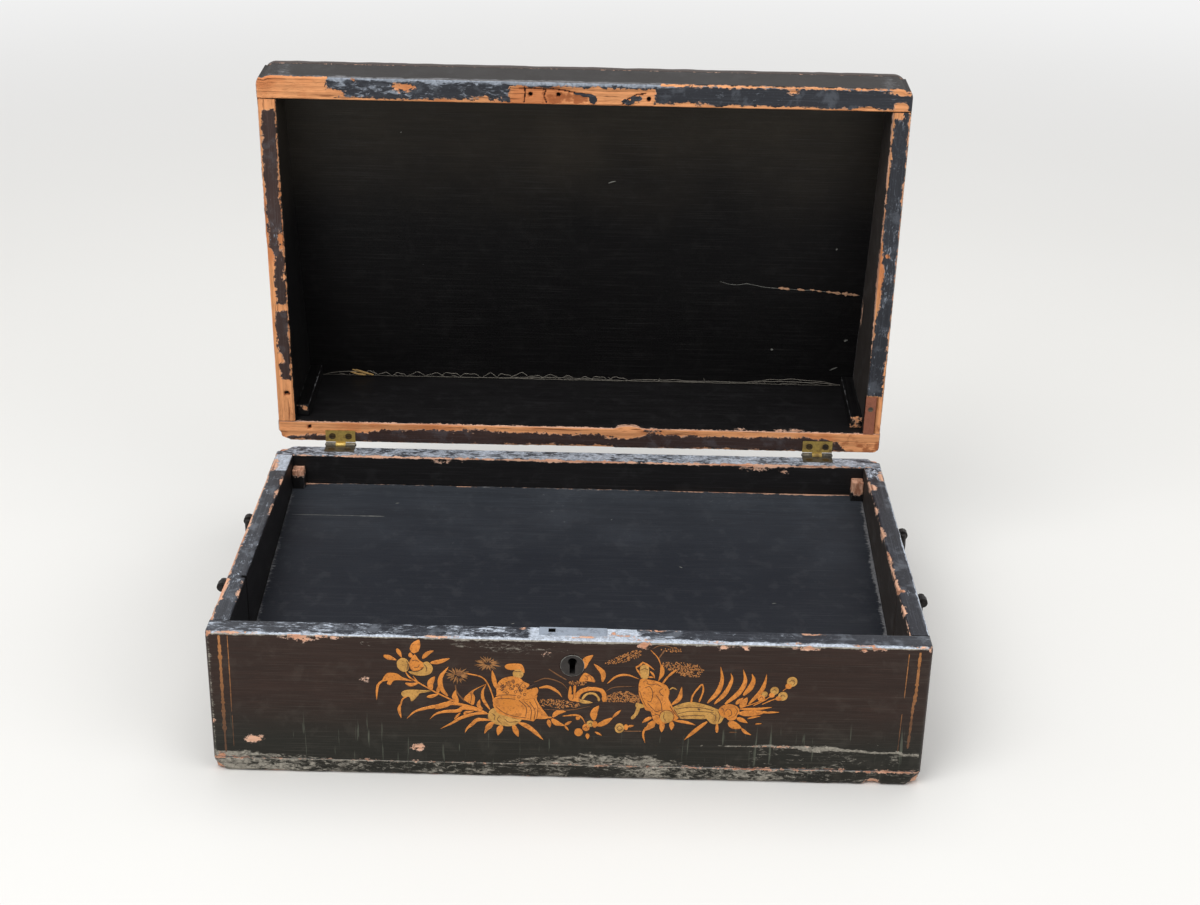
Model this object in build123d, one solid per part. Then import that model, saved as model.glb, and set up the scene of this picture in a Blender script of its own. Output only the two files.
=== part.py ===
"""Antique lacquer work box: a dovetailed case with a sloping inner floor and a wedge-shaped hinged lid.

Millimetres. The origin is the centre of the case's underside, +X to the right, -Y to the front, +Z up.
The lid is drawn shut and then turned open about its hinge pins.
"""
import math
import os

from build123d import *

os.makedirs("parts", exist_ok=True)

# Case
case_width = 385.0
case_depth = 240.0
case_height = 86.5
side_wall = 11.0
front_wall = 14.0
bottom_thickness = 9.0
bottom_bevel = 1.5
case_corner_radius = 3.0

# Corner dovetails
tail_pitch = 24.0
pin_width = 7.0
tail_slope = 7.0

# Lid: clear heights above its rim, inside the front and back walls
lid_front_clear = 29.0
lid_back_clear = 70.0
lid_thickness = 8.0
lid_front_corner_radius = 8.0
lid_back_corner_radius = 4.0
lid_edge_bevel = 2.0
rim_gap = 0.8
open_angle = 86.8

# Sloping inner floor, measured down from the case rim
floor_drop_back = 19.0
floor_drop_front = 47.0
floor_thickness = 5.0
floor_clearance = 0.2
ledge_width = 8.0
ledge_height = 9.0
groove_width = 3.2
groove_depth = 2.5
groove_place = -57.0
groove_end = 14.0

# Corner glue blocks
block_size = 8.0
case_block_drop = 7.0
lid_block_drop = 8.0

# Nails through the bottom and the top boards
nail_head = 3.4
nail_head_height = 0.9
nail_shank = 2.0
nail_length = 24.0
nail_recess = 0.6
nail_clearance = 0.05
nail_columns = 4
nail_rows = 2
nail_column_inset = 52.5
nail_row_inset = 68.0

# Butt hinges
hinge_inset = 39.5
hinge_width = 19.0
leaf_depth = 8.0
leaf_thickness = 1.0
knuckle_radius = 1.6
knuckle_gap = 0.2
pin_radius = 0.75
pin_clearance = 0.05
pin_overhang = 0.5
pin_offset = 1.9
hinge_screw_spacing = 10.4
hinge_screw_inset = 4.0

# Countersunk wood screws
hinge_screw_head = 2.25
hinge_screw_shank = 1.1
hinge_screw_length = 9.0
lock_screw_head = 1.9
lock_screw_shank = 0.9
lock_screw_length = 8.0
patch_screw_head = 1.7
patch_screw_shank = 0.8
patch_screw_length = 12.0
screw_clearance = 0.05
slot_share = 0.22

# Box lock
lock_centre = 2.1
lock_length = 36.0
lock_plate_height = 34.0
lock_depth = 8.5
back_plate_thickness = 1.2
rim_plate_thickness = 1.5
cap_length = 31.0
cap_height = 23.0
cap_wall = 0.9
cap_corner_radius = 1.5
lock_clearance = 0.3
catch_hole_centre = -9.2
catch_hole_length = 3.8
catch_hole_width = 4.0
bolt_travel = 5.5
bolt_height = 5.0
bolt_thickness = 4.0
bolt_length = 18.5
bolt_step = 2.2
bolt_step_length = 10.5
bolt_lug_height = 2.0
bolt_lug_length = 8.0
talon_width = 3.0
spring_thickness = 0.5
spring_width = 3.0
spring_length = 12.0
spring_bow = 1.0
key_pin_radius = 1.2
keyhole_drop = 12.7
keyhole_radius = 2.4
keyhole_slot = 3.0
keyhole_height = 9.6
escutcheon_drop = 15.1
escutcheon_radius = 6.5
escutcheon_thickness = 1.2
escutcheon_proud = 0.4
escutcheon_chamfer = 0.3
lock_screw_spacing = 26.0
lock_screw_inset = 4.5

# Drop handles on the sides
handle_drop = 14.5
handle_span = 84.0
eye_stand_off = 6.0
eye_radius = 3.0
eye_half_width = 2.2
eye_bore = 1.4
rose_radius = 6.5
rose_thickness = 1.2
post_radius = 1.9
spike_side = 2.6
spike_length = 9.0
bail_bar_radius = 1.75
bail_end_radius = 1.3
bail_end_overhang = 1.0
bail_drop = 25.0
bail_bend_radius = 11.0
bail_side_gap = 0.5
grip_radius = 2.7
grip_length = 36.0

# Repair block in the lid's rim
patch_width = 6.5
patch_length = 26.0
patch_depth = 5.0
patch_screw_place = 17.5

# Flat sides of slim round bars, screw shanks and forged bars
round_sides = 12
shank_sides = 6
forged_sides = 8

# Worked out from the sizes above
inner_x = case_width / 2 - side_wall
inner_y = case_depth / 2 - front_wall
lid_rim = case_height + rim_gap
pin_y = case_depth / 2 + pin_offset
pin_z = case_height + rim_gap / 2
bolt_nose = catch_hole_centre + catch_hole_length / 2 + lock_clearance
hinge_axis = Axis((0, pin_y, pin_z), (1, 0, 0))
hinge_places = (hinge_inset - case_width / 2, case_width / 2 - hinge_inset)
lid_slope = (lid_back_clear - lid_front_clear) / (2 * inner_y)
lid_board_rise = lid_thickness * math.hypot(1, lid_slope)
floor_slope = (floor_drop_front - floor_drop_back) / (2 * inner_y)
floor_board_drop = floor_thickness * math.hypot(1, floor_slope)
spare = 5.0


def lid_ceiling(y):
    """Height of the lid's inner ceiling, with the lid shut."""
    return lid_rim + lid_front_clear + (y + inner_y) * lid_slope


def floor_top(y):
    """Height of the sloping inner floor's upper face."""
    return case_height - floor_drop_front + (y + inner_y) * floor_slope


def block(x, y, z):
    """A box between its low and high limits along each axis."""
    middle = [(low + high) / 2 for low, high in (x, y, z)]
    return Pos(*middle) * Box(x[1] - x[0], y[1] - y[0], z[1] - z[0])


def prism_along_x(outline, low, high):
    """A solid with the given (y, z) outline, from low to high along X."""
    wire = Polyline(*[(low, y, z) for y, z in outline], close=True)
    return extrude(make_face(wire), amount=high - low, dir=(1, 0, 0))


def rod(radius, start, end):
    """A round bar along one axis, from one point to another."""
    run = Vector(*end) - Vector(*start)
    plane = Plane(origin=start, z_dir=run.normalized())
    return extrude(plane * Circle(radius), amount=run.length)


def fine_bar(radius, start, end):
    """A slim round bar or hole with flat sides, along one axis, from one point to another."""
    run = Vector(*end) - Vector(*start)
    plane = Plane(origin=start, z_dir=run.normalized())
    return extrude(plane * RegularPolygon(radius, round_sides), amount=run.length)


def flat_sided_taper(wide, narrow, height, sides):
    """A tapered bar pointing down from zero height, with flat sides and ends."""
    rings = []
    for radius, z in ((wide, 0.0), (narrow, -height)):
        angles = [math.tau * (step + 0.5) / sides for step in range(sides)]
        rings.append([(radius * math.cos(a), radius * math.sin(a), z) for a in angles])
    top, low = rings
    faces = [make_face(Polyline(*ring, close=True)) for ring in rings]
    for step in range(sides):
        corners = (top[step - 1], top[step], low[step], low[step - 1])
        faces.append(make_face(Polyline(*corners, close=True)))
    return Solid(Shell(faces))


def as_group(solids):
    """Several separate solids kept together as one node."""
    return Compound(children=list(solids))


def tail_points(low, high, root, tip):
    """Outline of a row of dovetails between two heights, from the lowest root to the highest."""
    count = max(1, math.floor((high - low) / tail_pitch))
    pitch = (high - low) / count
    tip_half = (pitch - pin_width) / 2
    root_half = tip_half - abs(tip - root) / tail_slope
    points = []
    for row in range(count):
        middle = low + (row + 0.5) * pitch
        points.append((root, middle - root_half))
        points.append((tip, middle - tip_half))
        points.append((tip, middle + tip_half))
        points.append((root, middle + root_half))
    return points


def rounded_prism(low, high, front_radius, back_radius):
    """The upright outline of the box, with its four vertical corners rounded."""
    solid = block(
        (-case_width / 2, case_width / 2),
        (-case_depth / 2, case_depth / 2),
        (low, high),
    )
    upright = solid.edges().filter_by(Axis.Z).sort_by(Axis.Y)
    solid = fillet(upright[:2], front_radius)
    upright = solid.edges().filter_by(Axis.Z).sort_by(Axis.Y)
    return fillet(upright[-2:], back_radius)


def screw_form(head, shank, length, clearance=0.0):
    """A countersunk screw pointing down, its head's top at zero height."""
    cone = flat_sided_taper(head + clearance, shank + clearance, head - shank, round_sides)
    outline = RegularPolygon(shank + clearance, shank_sides)
    return cone + extrude(outline, amount=-(length + clearance))


def slotted_screw(head, shank, length):
    """The screw itself, with the slot cut across its head."""
    slot_half = head * slot_share / 2
    slot = block((-head, head), (-slot_half, slot_half), (-(head - shank) / 2, spare))
    return screw_form(head, shank, length) - slot


def nail_form(clearance=0.0):
    """A cut nail pointing up from its head, which starts at zero height."""
    head = nail_head / 2 + clearance
    shank = nail_shank / 2 + clearance
    return block((-head, head), (-head, head), (0, nail_head_height + clearance)) + block(
        (-shank, shank), (-shank, shank), (0, nail_length + clearance)
    )


def spread(count, reach):
    """Evenly spaced places from -reach to reach."""
    return [reach * (2 * step / (count - 1) - 1) for step in range(count)]


def nail_plan():
    """Where the nails stand over the middles of the four walls."""
    wall_y = inner_y + front_wall / 2
    wall_x = inner_x + side_wall / 2
    columns = spread(nail_columns, case_width / 2 - nail_column_inset)
    rows = spread(nail_rows, case_depth / 2 - nail_row_inset)
    places = [(x, y) for y in (-wall_y, wall_y) for x in columns]
    return places + [(x, y) for x in (-wall_x, wall_x) for y in rows]


def bottom_nails(clearance=0.0):
    """The nails that hold the bottom board, heads sunk in its underside."""
    return [Pos(x, y, nail_recess) * nail_form(clearance) for x, y in nail_plan()]


def top_nails(clearance=0.0):
    """The nails that hold the lid's top board, heads sunk in its upper face."""
    nails = []
    for x, y in nail_plan():
        low_side = y - nail_head / 2
        head_top = lid_ceiling(low_side) + lid_board_rise - nail_recess
        nails.append(Pos(x, y, head_top) * Rot(180, 0, 0) * nail_form(clearance))
    return nails


def make_case_sides():
    """Left and right boards: dovetail tails at both ends and an upright groove inside."""
    root, tip = inner_y, case_depth / 2
    low, high = bottom_thickness, case_height
    back_tails = tail_points(low, high, root, tip)
    front_tails = [(-y, z) for y, z in reversed(back_tails)]
    outline = [(-root, low), (root, low), *back_tails, (root, high), (-root, high), *front_tails]
    sides = []
    for side in (-1, 1):
        x_low, x_high = sorted((side * inner_x, side * case_width / 2))
        board = prism_along_x(outline, x_low, x_high)
        groove_x = sorted((side * inner_x, side * (inner_x + groove_depth)))
        groove_y = (groove_place - groove_width / 2, groove_place + groove_width / 2)
        groove_low = floor_top(groove_place) - floor_board_drop - groove_end
        sides.append(board - block(groove_x, groove_y, (groove_low, case_height)))
    return sides


def make_lid_sides():
    """Tapered left and right boards of the lid, with one row of tails at each end."""
    root, tip = inner_y, case_depth / 2
    back_tails = tail_points(lid_rim, lid_ceiling(root), root, tip)
    front_tails = tail_points(lid_rim, lid_ceiling(-tip), -root, -tip)
    outline = [
        (-root, lid_rim),
        (root, lid_rim),
        *back_tails,
        (root, lid_ceiling(root)),
        (-root, lid_ceiling(-root)),
        *reversed(front_tails),
    ]
    return [
        prism_along_x(outline, *sorted((side * inner_x, side * case_width / 2)))
        for side in (-1, 1)
    ]


def make_lid_ends(sides):
    """Front and back boards of the lid, which take the tails of the sides."""
    boards = []
    for y_low, y_high in ((-case_depth / 2, -inner_y), (inner_y, case_depth / 2)):
        outline = [
            (y_low, lid_rim),
            (y_high, lid_rim),
            (y_high, lid_ceiling(y_high)),
            (y_low, lid_ceiling(y_low)),
        ]
        board = prism_along_x(outline, -case_width / 2, case_width / 2)
        boards.append(board - sides[0] - sides[1])
    return boards


def make_lid_top():
    """Sloping board planted on the four walls, with its upper edges eased."""
    half = case_depth / 2
    outline = [
        (-half, lid_ceiling(-half)),
        (half, lid_ceiling(half)),
        (half, lid_ceiling(half) + lid_board_rise),
        (-half, lid_ceiling(-half) + lid_board_rise),
    ]
    board = prism_along_x(outline, -case_width / 2, case_width / 2) & lid_outline
    upper = board.faces().sort_by(Axis.Z)[-1]
    return chamfer(upper.edges(), min(lid_edge_bevel, 0.9 * lid_thickness))


def make_case_bottom():
    """Bottom board planted under the walls, with its lower edge eased."""
    board = case_outline & block(
        (-case_width, case_width), (-case_depth, case_depth), (0, bottom_thickness)
    )
    lower = board.faces().sort_by(Axis.Z)[0]
    return chamfer(lower.edges(), min(bottom_bevel, 0.9 * bottom_thickness))


def make_case_blocks():
    """Glue blocks upright in the rear corners of the case."""
    blocks = []
    for side in (-1, 1):
        x = sorted((side * inner_x, side * (inner_x - block_size)))
        z = (bottom_thickness, case_height - case_block_drop)
        blocks.append(block(x, (inner_y - block_size, inner_y), z))
    return blocks


def make_lid_blocks():
    """Glue blocks in the rear corners of the lid, cut to the slope of its ceiling."""
    low, high = inner_y - block_size, inner_y
    base = lid_rim + lid_block_drop
    outline = [(low, base), (high, base), (high, lid_ceiling(high)), (low, lid_ceiling(low))]
    return [
        prism_along_x(outline, *sorted((side * inner_x, side * (inner_x - block_size))))
        for side in (-1, 1)
    ]


def make_false_floor():
    """Thin sloping board, notched at the back round the two glue blocks."""
    low, high = -inner_y + floor_clearance, inner_y - floor_clearance
    outline = [
        (low, floor_top(low) - floor_board_drop),
        (high, floor_top(high) - floor_board_drop),
        (high, floor_top(high)),
        (low, floor_top(low)),
    ]
    board = prism_along_x(outline, -inner_x + floor_clearance, inner_x - floor_clearance)
    notch = block_size + floor_clearance
    for side in (-1, 1):
        x = sorted((side * inner_x, side * (inner_x - notch)))
        board -= block(x, (inner_y - notch, inner_y), (0, case_height))
    return board


def make_ledge(wall_y, toward, half_length):
    """A batten along a wall, its top cut to the slope of the floor that it carries."""
    low, high = sorted((wall_y, wall_y + toward * ledge_width))
    base = min(floor_top(low), floor_top(high)) - floor_board_drop - ledge_height
    outline = [
        (low, base),
        (high, base),
        (high, floor_top(high) - floor_board_drop),
        (low, floor_top(low) - floor_board_drop),
    ]
    return prism_along_x(outline, -half_length, half_length)


def knuckle(place, start, end, plate_y, plate_z):
    """One turned-over barrel of a hinge leaf with the tongue that joins it to the plate."""
    barrel = fine_bar(knuckle_radius, (place + start, pin_y, pin_z), (place + end, pin_y, pin_z))
    return barrel + block((place + start, place + end), plate_y, plate_z)


def make_hinge(place):
    """Case leaf, lid leaf and pin of one butt hinge, with three barrels."""
    half = hinge_width / 2
    barrel = (hinge_width - 2 * knuckle_gap) / 3
    plate_y = (case_depth / 2 - leaf_depth, case_depth / 2)
    tongue_y = (case_depth / 2 - leaf_depth / 2, pin_y)
    case_z = (case_height - leaf_thickness, case_height)
    lid_z = (lid_rim, lid_rim + leaf_thickness)
    case_leaf = block((place - half, place + half), plate_y, case_z)
    for start in (-half, half - barrel):
        case_leaf += knuckle(place, start, start + barrel, tongue_y, case_z)
    lid_leaf = block((place - half, place + half), plate_y, lid_z)
    lid_leaf += knuckle(place, -barrel / 2, barrel / 2, tongue_y, lid_z)
    bore_start = (place - half - spare, pin_y, pin_z)
    bore_end = (place + half + spare, pin_y, pin_z)
    bore = fine_bar(pin_radius + pin_clearance, bore_start, bore_end)
    pin_start = (place - half - pin_overhang, pin_y, pin_z)
    pin_end = (place + half + pin_overhang, pin_y, pin_z)
    pin = fine_bar(pin_radius, pin_start, pin_end)
    return case_leaf - bore, lid_leaf - bore, pin


def hinge_screw_places():
    """Centres of the screws of both hinges."""
    y = case_depth / 2 - hinge_screw_inset
    half = hinge_screw_spacing / 2
    return [(place + shift, y) for place in hinge_places for shift in (-half, half)]


def hinge_screws(make, upward, *extra):
    """Screws, or the holes for them, in the case's leaves or in the lid's."""
    sizes = (hinge_screw_head, hinge_screw_shank, hinge_screw_length)
    turn = Rot(180, 0, 0) if upward else Rot(0, 0, 0)
    height = lid_rim if upward else case_height
    return [
        Pos(x, y, height) * turn * make(*sizes, *extra)
        for x, y in hinge_screw_places()
    ]


def lock_screws(make, *extra):
    """Screws, or the holes for them, through the lock's back plate into the front board."""
    sizes = (lock_screw_head, lock_screw_shank, lock_screw_length)
    z = case_height - lock_plate_height + lock_screw_inset
    half = lock_screw_spacing / 2
    return [
        Pos(lock_centre + shift, -inner_y, z) * Rot(-90, 0, 0) * make(*sizes, *extra)
        for shift in (-half, half)
    ]


def make_keyhole():
    """Round-topped keyhole, long enough to pass through the front board."""
    z = case_height - keyhole_drop
    start, end = (-case_depth / 2 - spare), (-inner_y - back_plate_thickness)
    hole = rod(keyhole_radius, (lock_centre, start, z), (lock_centre, end, z))
    slot_x = (lock_centre - keyhole_slot / 2, lock_centre + keyhole_slot / 2)
    return hole + block(slot_x, (start, end), (z + keyhole_radius - keyhole_height, z))


def make_catch_hole():
    """Square hole in the rim plate and the cap that the lid's catch drops into."""
    back = -inner_y - back_plate_thickness
    return block(
        (catch_hole_centre - catch_hole_length / 2, catch_hole_centre + catch_hole_length / 2),
        (back - catch_hole_width, back),
        (case_height - rim_plate_thickness - 2 * cap_wall, case_height + spare),
    )


def make_lock_plate():
    """Back plate let in flush with the inside, and the rim plate bent over at its top."""
    x = (lock_centre - lock_length / 2, lock_centre + lock_length / 2)
    bottom = case_height - lock_plate_height
    back = block(x, (-inner_y - back_plate_thickness, -inner_y), (bottom, case_height))
    rim_z = (case_height - rim_plate_thickness, case_height)
    return back + block(x, (-inner_y - lock_depth, -inner_y), rim_z)


def cap_limits(wall):
    """Limits of the lock's box along each axis, drawn in by a wall thickness."""
    top = case_height - rim_plate_thickness
    start = bolt_nose - bolt_travel - lock_clearance - cap_wall
    return (
        (start + wall, start + cap_length - wall),
        (-inner_y - lock_depth + wall, -inner_y - back_plate_thickness),
        (top - cap_height + wall, top - wall),
    )


def make_cap_block():
    """Outside of the lock's box, with rounded lower corners."""
    solid = block(*cap_limits(0.0))
    lower = solid.edges().filter_by(Axis.Y).sort_by(Axis.Z)[:2]
    return fillet(lower, min(cap_corner_radius, cap_height / 3))


def make_lock_bolt():
    """Sliding bolt with its lug and talon below and a step for the spring above."""
    z_top = case_height - rim_plate_thickness - cap_wall - lock_clearance
    y_back = -inner_y - back_plate_thickness - lock_clearance
    y = (y_back - bolt_thickness, y_back)
    bolt_end = bolt_nose + bolt_length
    bolt = block((bolt_nose, bolt_end), y, (z_top - bolt_height, z_top))
    bolt -= block((bolt_end - bolt_step_length, bolt_end), y, (z_top - bolt_step, z_top))
    lug_end = lock_centre + bolt_travel / 2 + bolt_lug_length / 2
    lug_z = (z_top - bolt_height - bolt_lug_height, z_top - bolt_height)
    bolt += block((lug_end - bolt_lug_length, lug_end), y, lug_z)
    talon_middle = lug_end - bolt_lug_length / 2
    talon_x = (talon_middle - talon_width / 2, talon_middle + talon_width / 2)
    talon_z = (lug_z[0], lug_z[0] + bolt_lug_height / 2)
    return bolt - block(talon_x, y, talon_z)


def make_lock_spring():
    """Bowed leaf spring between the box's end wall and the bolt's step."""
    z_top = case_height - rim_plate_thickness - cap_wall
    x_end = cap_limits(cap_wall)[0][1]
    x_start = x_end - spring_length
    low_end = z_top - spring_thickness
    y = -inner_y - back_plate_thickness - lock_clearance - bolt_thickness / 2 - spring_width / 2
    middle = ((x_start + x_end) / 2, y, low_end - spring_bow)
    under = ThreePointArc((x_start, y, low_end), middle, (x_end, y, low_end))
    over = ThreePointArc(
        (x_start, y, z_top), (middle[0], y, z_top - spring_bow), (x_end, y, z_top)
    )
    ends = [
        Line((x_start, y, low_end), (x_start, y, z_top)),
        Line((x_end, y, low_end), (x_end, y, z_top)),
    ]
    strip = make_face([under, over, *ends])
    return extrude(strip, amount=spring_width, dir=(0, 1, 0))


def make_escutcheon(keyhole):
    """Round keyhole plate let into the front face."""
    face = -case_depth / 2 - escutcheon_proud
    z = case_height - escutcheon_drop
    disc = rod(
        escutcheon_radius, (lock_centre, face, z), (lock_centre, face + escutcheon_thickness, z)
    )
    rim_edge = disc.edges().sort_by(Axis.Y)[0]
    return chamfer(rim_edge, escutcheon_chamfer) - keyhole


def handle_spike(side, y):
    """Square spike that fixes one handle eye in its side board."""
    wall = side * case_width / 2
    z = case_height - handle_drop
    half = spike_side / 2
    x = sorted((wall, wall - side * spike_length))
    return block(x, (y - half, y + half), (z - half, z + half))


def make_handle_posts():
    """Two eyes of the right handle: square spike, rose, neck and bored eye in one piece."""
    wall = case_width / 2
    z = case_height - handle_drop
    posts = []
    for y in (-handle_span / 2, handle_span / 2):
        centre = wall + eye_stand_off
        eye_y = (y - eye_half_width, y + eye_half_width)
        eye = fine_bar(eye_radius, (centre, eye_y[0], z), (centre, eye_y[1], z))
        stem = fine_bar(post_radius, (wall, y, z), (centre, y, z))
        rose = rod(rose_radius, (wall, y, z), (wall + rose_thickness, y, z))
        bore = fine_bar(eye_bore, (centre, y - spare, z), (centre, y + spare, z))
        posts.append(handle_spike(1, y) + rose + stem + eye - bore)
    return as_group(posts)


def spike_holes():
    """Holes in the side boards for the spikes of the handle eyes."""
    half = handle_span / 2
    return [handle_spike(side, y) for side in (-1, 1) for y in (-half, half)]


def forged_section(radius):
    """Section of a forged bar, with a flat side outwards."""
    return Rot(0, 0, 180 / forged_sides) * RegularPolygon(radius, forged_sides)


def make_bail():
    """Right drop handle: a forged bar with a swollen grip, its ends turned into the eyes."""
    x = case_width / 2 + eye_stand_off
    z = case_height - handle_drop
    arm = handle_span / 2 - eye_half_width - bail_bar_radius - bail_side_gap
    low = z - bail_drop
    bend = min(bail_bend_radius, 0.9 * bail_drop)
    top = z + bail_bar_radius
    path = FilletPolyline(
        (x, -arm, top), (x, -arm, low), (x, arm, low), (x, arm, top), radius=bend
    )
    start = Plane(origin=(x, -arm, top), z_dir=(0, 0, -1))
    bar = sweep(start * forged_section(bail_bar_radius), path=path)
    reach = handle_span / 2 + eye_half_width + bail_end_overhang
    for y in (-arm, arm):
        bar += fine_bar(bail_end_radius, (x, y, z), (x, math.copysign(reach, y), z))
    swell = grip_length / 6
    middle = Plane(origin=(x, -swell, low), x_dir=(1, 0, 0), z_dir=(0, 1, 0))
    bar += extrude(middle * forged_section(grip_radius), 2 * swell)
    taper = flat_sided_taper(grip_radius, bail_bar_radius, 2 * swell, forged_sides)
    for way in (-1, 1):
        bar += Pos(x, way * swell, low) * Rot(way * 90, 0, 0) * taper
    return bar


def make_rim_patch():
    """Small block let into the right-hand rim of the lid beside its back corner."""
    return block(
        (inner_x, inner_x + patch_width),
        (inner_y - patch_length, inner_y),
        (lid_rim, lid_rim + patch_depth),
    )


def patch_screw(make, *extra):
    """The screw of the repair block, or the hole for it."""
    x, y = inner_x + patch_width / 2, inner_y - patch_screw_place
    sizes = (patch_screw_head, patch_screw_shank, patch_screw_length)
    return Pos(x, y, lid_rim) * Rot(180, 0, 0) * make(*sizes, *extra)


case_outline = rounded_prism(0, case_height, case_corner_radius, case_corner_radius)
lid_outline = rounded_prism(
    lid_rim,
    lid_ceiling(case_depth / 2) + lid_board_rise + spare,
    lid_front_corner_radius,
    lid_back_corner_radius,
)

# Hinges, lock and handles
hinge_sets = [make_hinge(place) for place in hinge_places]
case_leaves = [leaves[0] for leaves in hinge_sets]
lid_leaves = [leaves[1] for leaves in hinge_sets]
keyhole = make_keyhole()
catch_hole = make_catch_hole()
cap_block = make_cap_block()
lock_plate_block = make_lock_plate()
escutcheon = make_escutcheon(keyhole)
handle_posts = make_handle_posts()
bail = make_bail()
key_pin_z = case_height - keyhole_drop
lock_key_pin = fine_bar(
    key_pin_radius,
    (lock_centre, -inner_y - back_plate_thickness, key_pin_z),
    (lock_centre, -inner_y - lock_depth + cap_wall, key_pin_z),
)

# Holes
case_hinge_holes = hinge_screws(screw_form, False, screw_clearance)
lid_hinge_holes = hinge_screws(screw_form, True, screw_clearance)
lock_holes = lock_screws(screw_form, screw_clearance)
bottom_nail_holes = bottom_nails(nail_clearance)
top_nail_holes = top_nails(nail_clearance)
rim_patch = make_rim_patch()
patch_hole = patch_screw(screw_form, screw_clearance)

# Case boards
case_left_board, case_right_board = make_case_sides()
front_y, back_y = (-case_depth / 2, -inner_y), (inner_y, case_depth / 2)
wall_x, wall_z = (-case_width / 2, case_width / 2), (bottom_thickness, case_height)
case_front_board = block(wall_x, front_y, wall_z) - case_left_board - case_right_board
case_back_board = block(wall_x, back_y, wall_z) - case_left_board - case_right_board
case_front = (case_front_board & case_outline) - lock_plate_block - cap_block
case_front = case_front - keyhole - escutcheon - lock_holes - bottom_nail_holes
case_back = (case_back_board & case_outline) - case_leaves - case_hinge_holes - bottom_nail_holes
case_left = (case_left_board & case_outline) - spike_holes() - bottom_nail_holes
case_right = (case_right_board & case_outline) - spike_holes() - bottom_nail_holes
case_bottom = make_case_bottom() - bottom_nail_holes
ledge_back = make_ledge(inner_y, -1, inner_x - block_size)
ledge_front = make_ledge(-inner_y, 1, inner_x)
case_blocks = make_case_blocks()

# Lid boards
lid_left_board, lid_right_board = make_lid_sides()
lid_front_board, lid_back_board = make_lid_ends((lid_left_board, lid_right_board))
lid_front = (lid_front_board & lid_outline) - top_nail_holes
lid_back = (lid_back_board & lid_outline) - lid_leaves - lid_hinge_holes - top_nail_holes
lid_left = (lid_left_board & lid_outline) - top_nail_holes
lid_right = (lid_right_board & lid_outline) - rim_patch - patch_hole - top_nail_holes
lid_top = make_lid_top() - top_nail_holes
lid_blocks = make_lid_blocks()

fixed_nodes = {
    "case_front": case_front,
    "case_back": case_back,
    "case_left": case_left,
    "case_right": case_right,
    "case_bottom": case_bottom,
    "false_floor": make_false_floor(),
    "ledge_front": ledge_front,
    "ledge_back": ledge_back,
    "case_block_left": case_blocks[0],
    "case_block_right": case_blocks[1],
    "case_bottom_nails": as_group(bottom_nails()),
    "lock_plate": lock_plate_block - catch_hole - lock_holes,
    "lock_cap": cap_block - block(*cap_limits(cap_wall)) - catch_hole - keyhole,
    "lock_bolt": make_lock_bolt(),
    "lock_spring": make_lock_spring(),
    "lock_key_pin": lock_key_pin,
    "lock_screws": as_group(lock_screws(slotted_screw)),
    "escutcheon": escutcheon,
    "handle_left_posts": mirror(handle_posts, about=Plane.YZ),
    "handle_right_posts": handle_posts,
    "handle_left_bail": mirror(bail, about=Plane.YZ),
    "handle_right_bail": bail,
    "hinge_left_case_leaf": case_leaves[0] - case_hinge_holes,
    "hinge_right_case_leaf": case_leaves[1] - case_hinge_holes,
    "hinge_left_pin": hinge_sets[0][2],
    "hinge_right_pin": hinge_sets[1][2],
    "case_hinge_screws": as_group(hinge_screws(slotted_screw, False)),
}

lid_nodes = {
    "lid_front": lid_front,
    "lid_back": lid_back,
    "lid_left": lid_left,
    "lid_right": lid_right,
    "lid_top": lid_top,
    "lid_block_left": lid_blocks[0],
    "lid_block_right": lid_blocks[1],
    "lid_top_nails": as_group(top_nails()),
    "rim_patch": rim_patch - patch_hole,
    "rim_patch_screw": patch_screw(slotted_screw),
    "hinge_left_lid_leaf": lid_leaves[0] - lid_hinge_holes,
    "hinge_right_lid_leaf": lid_leaves[1] - lid_hinge_holes,
    "lid_hinge_screws": as_group(hinge_screws(slotted_screw, True)),
}

for name, solid in fixed_nodes.items():
    export_step(solid, f"parts/{name}.step")

for name, solid in lid_nodes.items():
    export_step(solid.rotate(hinge_axis, -open_angle), f"parts/{name}.step")
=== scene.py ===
"""Antique lacquer work box with its lid standing open: boards, wear, gilding, fittings and stage."""

import math

import bmesh
import bpy
import numpy as np
from bpy.props import FloatProperty, FloatVectorProperty, IntProperty, PointerProperty
from mathutils import Matrix, Vector


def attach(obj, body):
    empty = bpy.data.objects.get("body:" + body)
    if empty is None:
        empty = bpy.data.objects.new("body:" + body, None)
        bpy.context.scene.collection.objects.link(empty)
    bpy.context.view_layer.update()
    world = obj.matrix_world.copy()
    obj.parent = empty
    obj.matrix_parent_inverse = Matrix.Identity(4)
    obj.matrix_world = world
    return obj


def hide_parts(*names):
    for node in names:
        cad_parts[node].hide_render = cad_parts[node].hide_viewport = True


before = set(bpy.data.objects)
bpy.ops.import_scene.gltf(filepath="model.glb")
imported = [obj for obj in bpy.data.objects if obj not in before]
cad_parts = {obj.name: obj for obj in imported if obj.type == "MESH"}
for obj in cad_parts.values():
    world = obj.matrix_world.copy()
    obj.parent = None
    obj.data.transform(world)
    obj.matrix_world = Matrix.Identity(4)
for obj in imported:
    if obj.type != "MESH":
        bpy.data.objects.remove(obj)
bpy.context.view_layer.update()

bl_info = {
    "name": "Lacquer Work Box",
    "version": (1, 0, 0),
    "blender": (4, 5, 0),
    "location": "View3D > Sidebar > Work Box",
    "description": "Dresses a lacquered, gilded work box with worn edges, fittings and a plain stage",
    "category": "Add Mesh",
}

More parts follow.
